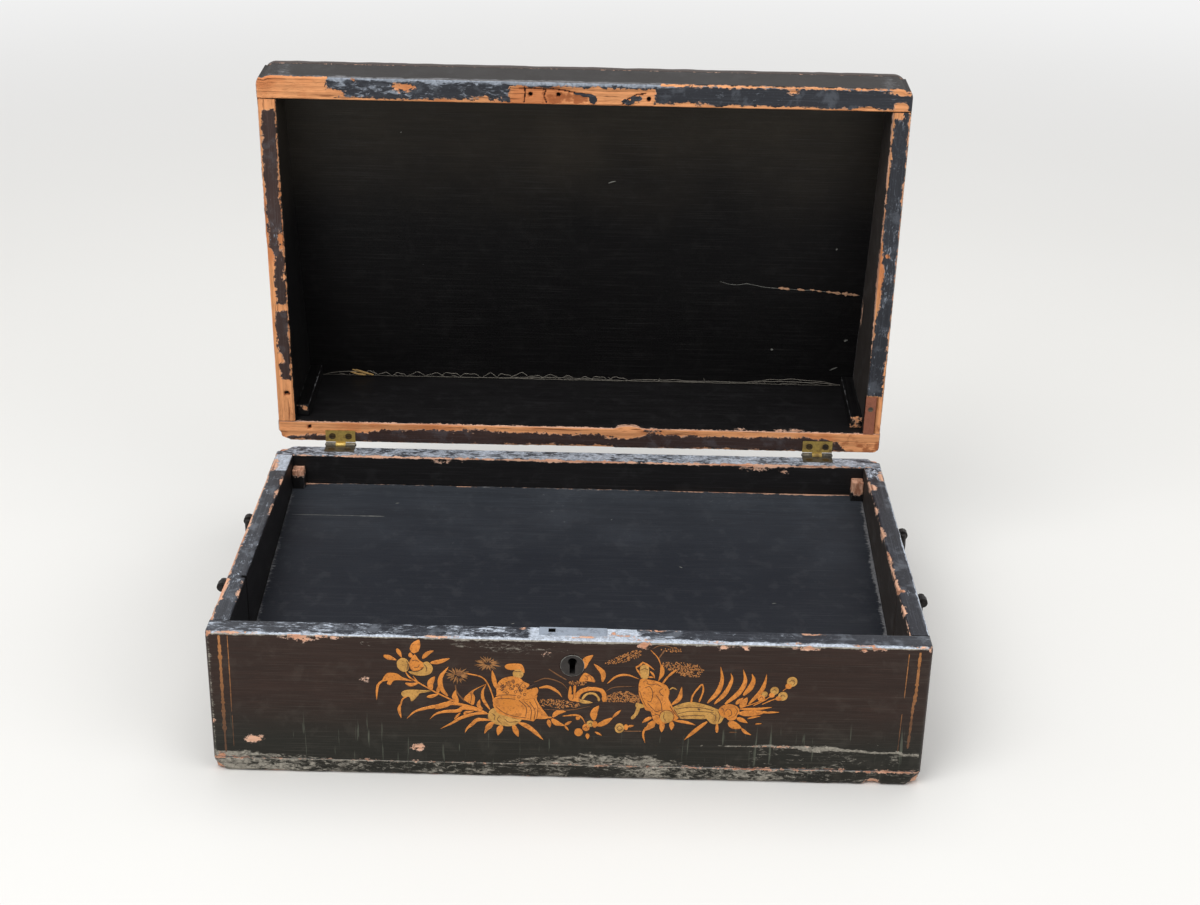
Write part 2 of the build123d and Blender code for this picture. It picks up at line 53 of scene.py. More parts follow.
# Lengths in millimetres, angles in degrees.
MM = 0.001
CASE_WIDTH = 385.0
CASE_DEPTH = 240.0
CASE_HEIGHT = 86.5
SIDE_WALL = 11.0
FRONT_WALL = 14.0
BOTTOM = 9.0
LID_RIM = 87.3
LID_FRONT_CLEAR = 29.0
LID_BACK_CLEAR = 70.0
LID_BOARD = 8.15
FLOOR_BACK = 67.5
FLOOR_FRONT = 39.5
FLOOR_BOARD = 5.04
PIN_Y = 121.9
PIN_Z = 86.9
OPEN_ANGLE = 86.8
LID_WALL = 60.0
BLOCK = 8.0
LID_BLOCK_FOOT = 8.0
HINGE_X = 153.0
HINGE_HALF = 9.5
HINGE_BED = 8.0
HINGE_SINK = 1.05
LOCK_X = 2.1
LOCK_PLATE = (-15.9, 20.1)
LOCK_PLATE_SINK = 1.56
KEYHOLE_Z = 73.8
KEYHOLE_RADIUS = 2.4
ESCUTCHEON_Z = 71.4
GROOVE = (-58.6, -55.4)
GROOVE_FOOT = 24.0
GROOVE_DEPTH = 2.5

# The stage, with its places in metres.
SEEN_BRIGHTNESS = 0.9
WORLD_BRIGHTNESS = 0.55
CAMERA_PLACE = (0.0166, -0.9895, 0.5925)
CAMERA_TURNS = (-24.52, -0.15, 1.22)
LAMP_TARGET = (0, 0, 0.12)

HALF_X = CASE_WIDTH / 2
HALF_Y = CASE_DEPTH / 2
INNER_X = HALF_X - SIDE_WALL
INNER_Y = HALF_Y - FRONT_WALL


def from_screen(red, green, blue):
    """A colour as written for the screen, 0 to 255, as linear values."""
    def linear(value):
        value /= 255
        return value / 12.92 if value <= 0.04045 else ((value + 0.055) / 1.055) ** 2.4

    return (linear(red), linear(green), linear(blue))


def scaled(colour, by):
    """A colour made lighter or darker."""
    return tuple(min(1.0, channel * by) for channel in colour)


def tinted(colour, weights):
    """A colour with a weight for each channel."""
    return tuple(channel * weight for channel, weight in zip(colour, weights))


def mixed(first, share, second):
    """Two colours together, with the share of the first."""
    return tuple(share * one + (1.0 - share) * other for one, other in zip(first, second))


def ceiling(y):
    """Height of the shut lid's inner ceiling, in millimetres."""
    return LID_RIM + LID_FRONT_CLEAR + (y + INNER_Y) * (LID_BACK_CLEAR - LID_FRONT_CLEAR) / (2 * INNER_Y)


def floor_height(y):
    """Height of the sloping inner floor, in millimetres."""
    return FLOOR_FRONT + (y + INNER_Y) * (FLOOR_BACK - FLOOR_FRONT) / (2 * INNER_Y)


def opened(points):
    """Points of the shut lid, in millimetres, turned to where the open lid stands."""
    angle = math.radians(-OPEN_ANGLE)
    y, z = points[:, 1] - PIN_Y, points[:, 2] - PIN_Z
    turned = np.array(points, dtype=float)
    turned[:, 1] = PIN_Y + y * math.cos(angle) - z * math.sin(angle)
    turned[:, 2] = PIN_Z + y * math.sin(angle) + z * math.cos(angle)
    return turned


# Settings


def length_setting(name, text, default):
    return FloatProperty(name=name, description=text, default=default, min=0.0, unit="LENGTH", precision=5)


def colour_setting(name, text, *screen):
    return FloatVectorProperty(
        name=name, description=text, subtype="COLOR", size=3, min=0.0, max=1.0, default=from_screen(*screen)
    )


class BoxSizes(bpy.types.PropertyGroup):
    """Sizes of the box's dressing."""

    lacquer: length_setting("Lacquer", "Thickness of the lacquer that has chipped away", 0.00035)
    arris: length_setting("Arris", "Radius of the worn edges of the boards", 0.0013)
    grid: length_setting("Grid", "Spacing of the mesh lines near the rims", 0.0012)
    gilt_height: length_setting("Gilt height", "How far the gilding stands above the lacquer", 0.00022)
    dot_radius: length_setting("Dot radius", "Radius of the gilt dots of the foliage", 0.00037)
    fibre_radius: length_setting("Fibre radius", "Radius of the frayed fibres in the lid", 0.00019)
    seed: IntProperty(name="Seed", description="Seed of the scattered dots", default=7, min=0)


class BoxColours(bpy.types.PropertyGroup):
    """Colours of the box's finishes."""

    outside: colour_setting("Outside", "Brown-black lacquer of the outside", 47, 32, 26)
    rim: colour_setting("Rim", "Slate lacquer of the rims", 46, 48, 54)
    rim_brown: colour_setting("Brown rim", "Brown lacquer of the lid's left and back rims", 62, 46, 42)
    lid_inside: colour_setting("Lid inside", "Olive-black lacquer inside the lid", 49, 44, 37)
    case_inside: colour_setting("Case inside", "Lacquer on the case's inner walls", 22, 21, 22)
    floor: colour_setting("Inner floor", "Blue-black inner floor", 57, 61, 67)
    wood: colour_setting("Bare wood", "Bare wood where the lacquer is gone", 222, 154, 104)
    # The rubbed pale also paints the highlights along the lit arrises of the rims.
    rubbed: colour_setting("Rubbed", "Lacquer rubbed pale", 158, 166, 178)
    gilt: colour_setting("Gilt", "Gilding of the spray", 204, 126, 42)
    line: colour_setting("Line", "Dark lines drawn over the gilding", 62, 36, 22)
    brass: colour_setting("Brass", "Brass of the hinges", 196, 168, 92)
    iron: colour_setting("Iron", "Iron of the handles and the lock", 52, 50, 50)
    steel: colour_setting("Steel", "Steel of the pins and the lock plate", 96, 98, 102)
    ground: colour_setting("Ground", "Studio floor", 226, 225, 222)


# Shader maths


class Value:
    """A shader socket that takes part in sums."""

    def __init__(self, tree, socket):
        self.tree = tree
        self.socket = socket

    def sum(self, operation, other):
        return self.tree.node("ShaderNodeMath", {"operation": operation}, {0: self, 1: other})

    def __add__(self, other):
        return self.sum("ADD", other)

    def __mul__(self, other):
        return self.sum("MULTIPLY", other)

    def __sub__(self, other):
        return self.sum("SUBTRACT", other)

    def __rsub__(self, other):
        return self.tree.node("ShaderNodeMath", {"operation": "SUBTRACT"}, {0: other, 1: self})

    __radd__ = __add__
    __rmul__ = __mul__

    def over(self, low, high):
        """0 below low, 1 above high, with a soft step between."""
        settings = {"interpolation_type": "SMOOTHSTEP"}
        return self.tree.node("ShaderNodeMapRange", settings, {0: self, 1: low, 2: high})

    def most(self, other):
        return self.sum("MAXIMUM", other)


class ShaderTree:
    """The nodes of a material or of the world, under construction."""

    def __init__(self, nodes):
        self.tree = nodes

    def node(self, kind, settings=None, values=None, out=0):
        """Adds a node and gives back one of its outputs."""
        node = self.tree.nodes.new(kind)
        for key, setting in (settings or {}).items():
            setattr(node, key, setting)
        for key, value in (values or {}).items():
            self.feed(node.inputs[key], value)
        return Value(self, node.outputs[out])

    def feed(self, socket, value):
        """Links a value to a socket, or sets the socket to a colour, a vector or a number."""
        if isinstance(value, Value):
            self.tree.links.new(value.socket, socket)
        elif hasattr(value, "__len__"):
            value = tuple(value)
            socket.default_value = (
                (*value, 1.0) if len(socket.default_value) == 4 and len(value) == 3 else value
            )
        else:
            socket.default_value = value

    def place(self):
        """Object coordinates of the piece."""
        return self.node("ShaderNodeTexCoord", out="Object")

    def attribute(self, name, out="Fac"):
        return self.node("ShaderNodeAttribute", {"attribute_name": name}, out=out)

    def height(self, vector):
        """The upward part of a place."""
        return self.node("ShaderNodeSeparateXYZ", {}, {0: vector}, out=2)

    def stretched(self, vector, scale):
        return self.node("ShaderNodeMapping", {}, {"Vector": vector, "Scale": scale})

    def noise(self, vector, scale, detail=3.0, rough=0.55, twist=0.0):
        values = {"Vector": vector, "Scale": scale, "Detail": detail, "Roughness": rough, "Distortion": twist}
        return self.node("ShaderNodeTexNoise", {}, values)

    def blend(self, factor, first, second):
        settings = {"data_type": "RGBA", "clamp_factor": True}
        return self.node("ShaderNodeMix", settings, {0: factor, 6: first, 7: second}, out=2)


class Finish(ShaderTree):
    """A procedural material under construction."""

    def __init__(self, name):
        self.material = bpy.data.materials.new(name)
        self.material.use_nodes = True
        super().__init__(self.material.node_tree)
        self.tree.nodes.clear()
        self.output = self.tree.nodes.new("ShaderNodeOutputMaterial")
        self.shader = self.tree.nodes.new("ShaderNodeBsdfPrincipled")
        self.tree.links.new(self.shader.outputs[0], self.output.inputs[0])

    def done(self, colour, rough, height=None, relief=0.0002, metal=None, **plain):
        """Feeds the shader and gives back the finished material."""
        self.feed(self.shader.inputs["Base Color"], colour)
        self.feed(self.shader.inputs["Roughness"], rough)
        if metal is not None:
            self.feed(self.shader.inputs["Metallic"], metal)
        if height is not None:
            bump = self.node("ShaderNodeBump", {}, {"Strength": 1.0, "Distance": relief, "Height": height})
            self.feed(self.shader.inputs["Normal"], bump)
        for name, value in plain.items():
            self.feed(self.shader.inputs[name.replace("_", " ")], value)
        return self.material


def board_finish(name, lacquer, wood, rubbed, streak=0.5, gloss=0.42, mottle=0.3, fade=None, cracks=None):
    """Lacquer over wood, with streaks; the piece's attributes say where it is rubbed (real wear, and painted
    highlights along the lit arrises), bare or stained (a stain above 1.1 is painted shade, near-black in
    holes and cracks).
    """
    f = Finish(name)
    place = f.place()
    grain = f.attribute("grain", "Vector")
    long_streaks = f.noise(f.stretched(grain, (9.0, 260.0, 260.0)), 1.0, 5.0, 0.6)
    fine_streaks = f.noise(f.stretched(grain, (40.0, 1400.0, 1400.0)), 1.0, 3.0, 0.6)
    cloud = f.noise(place, 22.0, 4.0, 0.6)
    blotch = f.noise(place, 95.0, 5.0, 0.6, 0.25)
    specks = f.noise(place, 1300.0, 2.0, 0.5)
    wisps = f.noise(f.stretched(grain, (190.0, 560.0, 560.0)), 1.0, 7.0, 0.75, 0.9)
    threads = f.noise(f.stretched(grain, (18.0, 2200.0, 2200.0)), 1.0, 3.0, 0.7)

    coarse_flakes = f.node("ShaderNodeTexVoronoi", {}, {"Vector": place, "Scale": 340.0}, out="Color")
    fine_flakes = f.node("ShaderNodeTexVoronoi", {}, {"Vector": place, "Scale": 950.0}, out="Color")
    coarse = f.node("ShaderNodeSeparateColor", {}, {0: coarse_flakes})
    fine = f.node("ShaderNodeSeparateColor", {}, {0: fine_flakes})
    bare_edge = f.attribute("bare") + (coarse - 0.5) * 1.2 + (fine - 0.5) * 0.8 + (wisps - 0.5) * 1.6
    bare = bare_edge.over(-0.08, 0.08)
    rim_of_chip = bare_edge.over(-0.5, -0.1) * (1.0 - bare)
    # The rubbed mask holds real scuffs and also the painted highlights along the lit arrises.
    scuff_and_highlight_mask = (f.attribute("rubbed") + (wisps - 0.5) * 2.1 + (cloud - 0.5) * 0.7).over(0.42, 0.7)

    base = f.blend(long_streaks.over(0.3, 0.72), scaled(lacquer, 1.0 - 0.5 * streak), lacquer)
    base = f.blend(fine_streaks.over(0.52, 0.78) * 0.7, base, scaled(lacquer, 1.0 + 1.6 * streak))
    base = f.blend(cloud.over(0.45, 0.75) * 0.35, base, scaled(lacquer, 1.0 + 1.3 * streak))
    # The fade darkens the lacquer downwards between two heights: painted shade in the lid's lining and on the
    # inner floor; on the front it is only darker towards the bottom.
    if fade is not None:
        low, high, dark = fade
        height = f.height(place)
        base = f.blend((height + (cloud - 0.5) * 0.4 * (high - low)).over(low, high), dark, base)
    if cracks is not None:
        upright = f.noise(f.stretched(place, (560.0, 60.0, 26.0)), 1.0, 3.0, 0.6, 0.2)
        foot = 1.0 - f.height(place).over(0.026, 0.042)
        base = f.blend(upright.over(0.64, 0.69) * foot * 0.6, base, cracks)
    dusty = mixed(lacquer, 0.6, rubbed)
    base = f.blend(threads.over(0.5, 0.8) * (0.25 + 0.3 * mottle), base, dusty)
    base = f.blend(blotch.over(0.52, 0.68) * mottle, base, dusty)
    base = f.blend(specks.over(0.64, 0.74) * 0.5 * mottle, base, rubbed)
    base = f.blend(scuff_and_highlight_mask * (fine * 0.5 + 0.5), base, rubbed)
    pale_ground = mixed(wood, 0.55, (0.62, 0.52, 0.46))
    base = f.blend(rim_of_chip * wisps.over(0.46, 0.56) * 0.85, base, pale_ground)
    base = f.blend(rim_of_chip * (1.0 - wisps.over(0.46, 0.56)) * 0.6, base, scaled(lacquer, 0.4))

    rings = f.noise(f.stretched(grain, (12.0, 480.0, 480.0)), 1.0, 4.0, 0.62, 0.4)
    pores = f.noise(f.stretched(grain, (130.0, 2600.0, 2600.0)), 1.0, 2.0, 0.5)
    splits = f.noise(f.stretched(grain, (22.0, 700.0, 700.0)), 1.0, 3.0, 0.6, 0.2)
    brown = tinted(wood, (0.45, 0.3, 0.24))
    red = tinted(wood, (0.78, 0.56, 0.44))
    timber = f.blend(rings.over(0.4, 0.6), scaled(wood, 1.16), scaled(wood, 0.86))
    timber = f.blend(cloud.over(0.48, 0.62) * 0.65, timber, red)
    timber = f.blend(pores.over(0.54, 0.72) * 0.6, timber, brown)
    timber = f.blend(splits.over(0.62, 0.67) * 0.8, timber, scaled(brown, 0.6))
    stain = (f.attribute("stain") + (wisps - 0.5) * 1.3).over(0.35, 0.65)
    timber = f.blend(stain * 0.85, timber, brown)
    # Painted shade: above 1.1 the stain turns the wood near-black, in the nail holes, pits and splits.
    timber = f.blend(f.attribute("stain").over(1.1, 1.4), timber, (0.006, 0.004, 0.003))
    timber = f.blend((0.55 - bare_edge).over(0.0, 0.5) * coarse.over(0.4, 0.6) * 0.55, timber, pale_ground)

    colour = f.blend(bare, base, timber)
    rough = (gloss + (cloud - 0.5) * 0.2 + scuff_and_highlight_mask * 0.25) * (1.0 - bare) + bare * 0.8
    height = (
        (1.0 - bare) * 0.8 + fine_streaks * 0.12 + wisps * 0.3 + pores * bare * 0.35
        - splits.over(0.6, 0.67) * bare * 0.8
    )
    height = height + scuff_and_highlight_mask * 0.25 + long_streaks * 0.15 + blotch * 0.3 * mottle
    return f.done(colour, rough, height, 0.0004, Specular_IOR_Level=0.2)


def bare_wood_finish(name, wood):
    """Old bare wood with grain on Object coordinates."""
    f = Finish(name)
    place = f.place()
    rings = f.noise(f.stretched(place, (60.0, 60.0, 60.0)), 1.0, 5.0, 0.65, 0.5)
    pores = f.noise(place, 1300.0, 3.0, 0.6)
    stain = f.noise(place, 90.0, 4.0, 0.6)
    dark = tinted(wood, (0.5, 0.36, 0.3))
    colour = f.blend(rings.over(0.35, 0.7), scaled(wood, 1.15), wood)
    colour = f.blend(pores.over(0.5, 0.72) * 0.5, colour, dark)
    colour = f.blend(stain.over(0.55, 0.75) * 0.7, colour, dark)
    return f.done(colour, 0.7 + stain * 0.2, pores + rings * 0.6, 0.0004)


def metal_finish(name, metal, tarnish, roughness=0.42, metallic=0.85, spread=0.5, top=None):
    """Old metal: bright where it was handled, tarnished in cloudy patches, and painted black below a given
    top as shade.
    """
    f = Finish(name)
    place = f.place()
    cloud = f.noise(place, 160.0, 5.0, 0.65)
    pits = f.noise(place, 1400.0, 3.0, 0.6)
    dull = cloud.over(spread - 0.14, spread + 0.16)
    colour = f.blend(dull, metal, tarnish)
    colour = f.blend(pits.over(0.6, 0.75) * 0.6, colour, scaled(tarnish, 0.4))
    # Painted shade: near-black below the top, for the walls inside a hole.
    if top is not None:
        height = f.height(place)
        colour = f.blend(height.over(top - 0.0004, top - 0.0002), from_screen(16, 15, 15), colour)
    rough = dull * 0.3 + roughness + (pits - 0.5) * 0.15
    return f.done(colour, rough, pits * 0.6 + cloud, 0.00012, metallic * (1.0 - dull * 0.5))


def gilt_finish(name, gilt, shade, low=None, high=None):
    """Old gilding: warm, cloudy, with thin worn places; it fades downwards from high to low."""
    f = Finish(name)
    place = f.place()
    cloud = f.noise(place, 130.0, 4.0, 0.6)
    wear = f.noise(place, 260.0, 5.0, 0.7)
    rubs = f.noise(place, 800.0, 4.0, 0.7)
    pale = tuple(min(1.0, channel * 1.25 + 0.02) for channel in gilt)
    deep = mixed(gilt, 0.58, shade)
    colour = f.blend(cloud.over(0.3, 0.7), gilt, pale)
    colour = f.blend(wear.over(0.46, 0.63) * 0.85, colour, deep)
    colour = f.blend(rubs.over(0.53, 0.7) * 0.75, colour, shade)
    if low is not None:
        height = f.height(place)
        faded = 1.0 - (height + (wear - 0.5) * 0.09).over(low, high)
        colour = f.blend(faded * 0.85, colour, shade)
    return f.done(colour, 0.45 + rubs * 0.2, rubs, 0.00008, 0.25)


def plain_finish(name, colour, rough=0.6, vary=0.5):
    """A matt colour with fine cloudy variation."""
    f = Finish(name)
    place = f.place()
    cloud = f.noise(place, 500.0, 4.0, 0.65)
    dark = scaled(colour, 1.0 - vary)
    return f.done(f.blend(cloud.over(0.3, 0.7), dark, colour), rough + (cloud - 0.5) * 0.2, cloud, 0.0001)


# Smooth noise for the meshes


def soft_noise(points, size, seed=0):
    """Smooth noise from -1 to 1 over points in millimetres, with features of the given size."""
    scaled = np.asarray(points, dtype=float) / size + seed * 17.31
    cell = np.floor(scaled).astype(np.int64)
    part = scaled - cell
    part = part * part * (3 - 2 * part)
    total = np.zeros(len(scaled))
    for corner in range(8):
        step = np.array([corner & 1, (corner >> 1) & 1, (corner >> 2) & 1])
        node = cell + step
        mixed = (node[:, 0] * 73856093) ^ (node[:, 1] * 19349663) ^ (node[:, 2] * 83492791)
        mixed = (mixed ^ (mixed >> 13)) * 1274126177
        value = ((mixed ^ (mixed >> 16)) & 0xFFFF) / 32767.5 - 1.0
        weight = np.prod(np.where(step, part, 1 - part), axis=1)
        total += value * weight
    return total


def rough_noise(points, size, seed=0):
    """Three sizes of smooth noise together."""
    return (
        soft_noise(points, size, seed)
        + 0.5 * soft_noise(points, size / 2.1, seed + 3)
        + 0.25 * soft_noise(points, size / 4.3, seed + 5)
    ) / 1.75


# Boards


def lines(low, high, step, zones=(), marks=()):
    """Places of the mesh lines: a plain step, finer zones (start, end, step), and lines at marks."""
    places = list(np.linspace(low, high, max(2, int(round((high - low) / step)) + 1)))
    for start, end, fine in zones:
        start, end = max(low, start), min(high, end)
        places = [p for p in places if p < start or p > end]
        places += list(np.linspace(start, end, max(2, int(round((end - start) / fine)) + 1)))
    places = [p for p in places if all(abs(p - mark) > 0.09 for mark in marks)]
    places = sorted([*places, *marks, low, high])
    kept = [places[0]]
    for place in places[1:]:
        if place - kept[-1] > 0.04:
            kept.append(place)
    kept[-1] = high
    return np.array(kept)


def edge_zones(low, high, near=(0.25, 0.6, 1.0, 1.5)):
    """Marks close to both ends, so that a rounded edge is smooth."""
    return [low + n for n in near] + [high - n for n in near]


class Board:
    """The surface of a board as a lattice of points, shaped, worn and turned into a mesh."""

    def __init__(self, xs, ys, zs):
        shape = (len(xs), len(ys), len(zs))
        inside = np.zeros(shape, dtype=bool)
        inside[1:-1, 1:-1, 1:-1] = True
        number = np.full(shape, -1, dtype=np.int64)
        number[~inside] = np.arange(int((~inside).sum()))
        grid = np.stack(np.meshgrid(xs, ys, zs, indexing="ij"), axis=-1)
        self.points = grid[~inside].copy()
        self.low = np.array([xs[0], ys[0], zs[0]])
        self.high = np.array([xs[-1], ys[-1], zs[-1]])
        quads, sides = [], []

        def add(sheet, flip, side):
            corners = [sheet[:-1, :-1], sheet[1:, :-1], sheet[1:, 1:], sheet[:-1, 1:]]
            block = np.stack(corners, axis=-1).reshape(-1, 4)
            quads.append(block[:, ::-1] if flip else block)
            sides.append(np.full(len(block), side))

        add(number[0], True, 0)
        add(number[-1], False, 1)
        add(number[:, 0], False, 2)
        add(number[:, -1], True, 3)
        add(number[:, :, 0], True, 4)
        add(number[:, :, -1], False, 5)
        self.quads = np.concatenate(quads)
        self.sides = np.concatenate(sides)
        self.outward = np.zeros_like(self.points)
        self.flat = self.points.copy()
        self.bare = np.full(len(self.points), -9.0)
        # rubbed: pale where the lacquer is worn, and painted highlights along the lit arrises.
        self.rubbed = np.zeros(len(self.points))
        self.stain = np.zeros(len(self.points))

    def round_off(self, corners, edges, top=1.0, bottom=1.0):
        """Rounds four upright corners, and the edges of top and bottom with a radius for each side."""
        p = self.points
        low, high = self.low, self.high
        middle = (low + high) / 2
        right, back = p[:, 0] > middle[0], p[:, 1] > middle[1]
        radius = np.select(
            [~right & ~back, right & ~back, right & back], [corners[0], corners[1], corners[2]], corners[3]
        )
        centre = np.stack(
            [
                np.clip(p[:, 0], low[0] + radius, high[0] - radius),
                np.clip(p[:, 1], low[1] + radius, high[1] - radius),
            ],
            axis=1,
        )
        away = p[:, :2] - centre
        square = np.abs(away).max(axis=1)
        length = np.hypot(away[:, 0], away[:, 1])
        safe = np.where(length > 1e-9, length, 1.0)
        ratio = np.where(length > 1e-9, square / safe, 1.0)
        gaps = np.stack([p[:, 0] - low[0], high[0] - p[:, 0], p[:, 1] - low[1], high[1] - p[:, 1]], axis=1)
        nearest = gaps.argmin(axis=1)
        inset = gaps.min(axis=1)
        plain = np.array([[-1, 0], [1, 0], [0, -1], [0, 1]], dtype=float)[nearest]
        normal = np.where((length > 1e-9)[:, None], away / safe[:, None], plain)
        plan = np.where((length > 1e-9)[:, None], centre + away * ratio[:, None], p[:, :2])
        edge = np.array(edges, dtype=float)[nearest]
        wobble = 1.0 + 0.45 * rough_noise(p, 9.0, 4)
        for height, sign, scale in ((high[2] - p[:, 2], 1.0, top), (p[:, 2] - low[2], -1.0, bottom)):
            r = np.maximum(edge * scale * wobble, 1e-4)
            zone = (inset < r) & (height < r)
            span = np.hypot(r - inset, r - height)
            span = np.where(span > 1e-9, span, 1.0)
            new_inset = r - r * (r - inset) / span
            new_height = r - r * (r - height) / span
            shift = np.where(zone, new_inset - inset, 0.0)
            plan = plan - normal * shift[:, None]
            self.points[:, 2] = np.where(
                zone, self.points[:, 2] - sign * (new_height - height), self.points[:, 2]
            )
            across = np.where(zone, (r - inset) / span, 0.0)
            along = np.where(zone, (r - height) / span, np.where(height < 1e-6, 1.0, 0.0))
            self.outward[:, :2] += normal * across[:, None]
            self.outward[:, 2] += sign * along
        on_side = (inset < 1e-6) & (np.abs(self.outward).sum(axis=1) < 1e-6)
        self.outward[:, :2] += normal * on_side[:, None]
        self.points[:, :2] = plan
        size = np.linalg.norm(self.outward, axis=1)
        self.outward /= np.where(size > 1e-9, size, 1.0)[:, None]

    def chip(self, x, y, z, radius, depth):
        """Knocks a corner or an edge in at a place, with a broken surface."""
        gap = np.linalg.norm(self.flat - np.array([x, y, z]), axis=1)
        gap = gap + 0.25 * radius * rough_noise(self.flat, radius * 0.7, 8)
        fall = np.clip(1.0 - gap / radius, 0.0, 1.0)
        inward = (self.low + self.high) / 2 - self.flat
        inward /= np.linalg.norm(inward, axis=1)[:, None]
        toward = np.where(np.abs(self.outward) > 0.2, -self.outward, 0.3 * inward)
        self.points += toward * (depth * np.sqrt(fall))[:, None]
        self.bare = np.maximum(self.bare, (radius * 0.75 - gap))

    def wear(self, thickness):
        """Sinks the surface where the lacquer has gone."""
        sink = np.clip((self.bare + 0.25) / 0.5, 0.0, 1.0)
        sink = sink * sink * (3 - 2 * sink) * thickness
        self.points -= self.outward * sink[:, None]

    def mesh(self, name, materials, slots, grain_axis, lid):
        """The finished object, at the origin, with its attributes."""
        points = opened(self.points) if lid else self.points
        mesh = bpy.data.meshes.new(name)
        mesh.from_pydata((points * MM).tolist(), [], self.quads.tolist())
        mesh.update()
        for material in materials:
            mesh.materials.append(material)
        mesh.polygons.foreach_set("material_index", np.array(slots)[self.sides].astype(np.int32))
        mesh.polygons.foreach_set("use_smooth", np.full(len(self.quads), True))
        grain = np.roll(self.flat, -grain_axis, axis=1) * MM
        for label, values in (("bare", self.bare), ("rubbed", self.rubbed), ("stain", self.stain)):
            layer = mesh.attributes.new(label, "FLOAT", "POINT")
            layer.data.foreach_set("value", np.ascontiguousarray(values, dtype=np.float32))
        layer = mesh.attributes.new("grain", "FLOAT_VECTOR", "POINT")
        layer.data.foreach_set("vector", np.ascontiguousarray(grain, dtype=np.float32).ravel())
        return add_object(name, mesh)


def add_object(name, data):
    """Puts an object with the given data into the scene."""
    piece = bpy.data.objects.new(name, data)
    bpy.context.scene.collection.objects.link(piece)
    return piece


def settle(piece):
    """Turns a piece's modifiers into plain mesh."""
    bpy.context.view_layer.update()
    shaped = bpy.data.meshes.new_from_object(piece.evaluated_get(bpy.context.evaluated_depsgraph_get()))
    piece.modifiers.clear()
    old, piece.data = piece.data, shaped
    bpy.data.meshes.remove(old)
    shaped.name = piece.name


def oblong(x, y, x0, x1, y0, y1):
    """Distance inside an oblong, in millimetres, negative outside."""
    return np.minimum(np.minimum(x - x0, x1 - x), np.minimum(y - y0, y1 - y))


def spot(x, y, cx, cy, rx, ry):
    """Distance inside an oval, about, in millimetres."""
    return (1.0 - np.hypot((x - cx) / rx, (y - cy) / ry)) * min(rx, ry)


def spots(x, y, rows):
    """Distance inside the nearest of some ovals, each a centre and two radii."""
    return np.max([spot(x, y, *row) for row in rows], axis=0)


def band(place, table):
    """A width that varies along an edge, from (place, width) pairs."""
    return np.interp(place, [t[0] for t in table], [t[1] for t in table])


def near_line(x, y, lines_drawn):
    """Distance to the nearest of some drawn lines, in millimetres."""
    nearest = np.full(len(x), 99.0)
    for path in lines_drawn:
        for (x0, y0), (x1, y1) in zip(path, path[1:]):
            along = np.clip(
                ((x - x0) * (x1 - x0) + (y - y0) * (y1 - y0)) / ((x1 - x0) ** 2 + (y1 - y0) ** 2), 0, 1
            )
            nearest = np.minimum(nearest, np.hypot(x - x0 - along * (x1 - x0), y - y0 - along * (y1 - y0)))
    return nearest


def sink_bed(board, x0, x1, y0, y1, depth, sign):
    """Lets a shallow oblong bed into a board's top (sign 1) or its underside (sign -1)."""
    x, y, z = board.flat.T
    rim = board.high[2] if sign > 0 else board.low[2]
    hit = (x > x0) & (x < x1) & (y > y0) & (y < y1) & ((z - rim) * sign > -0.01)
    board.points[hit, 2] -= sign * depth


def sizes():
    """The box's size settings."""
    return bpy.context.scene.work_box_sizes


def colours():
    """The box's colour settings."""
    return bpy.context.scene.work_box_colours


def grid_and_arris():
    """Spacing of the mesh lines and radius of the worn edges, in millimetres."""
    return sizes().grid / MM, sizes().arris / MM


FINISHES = {}


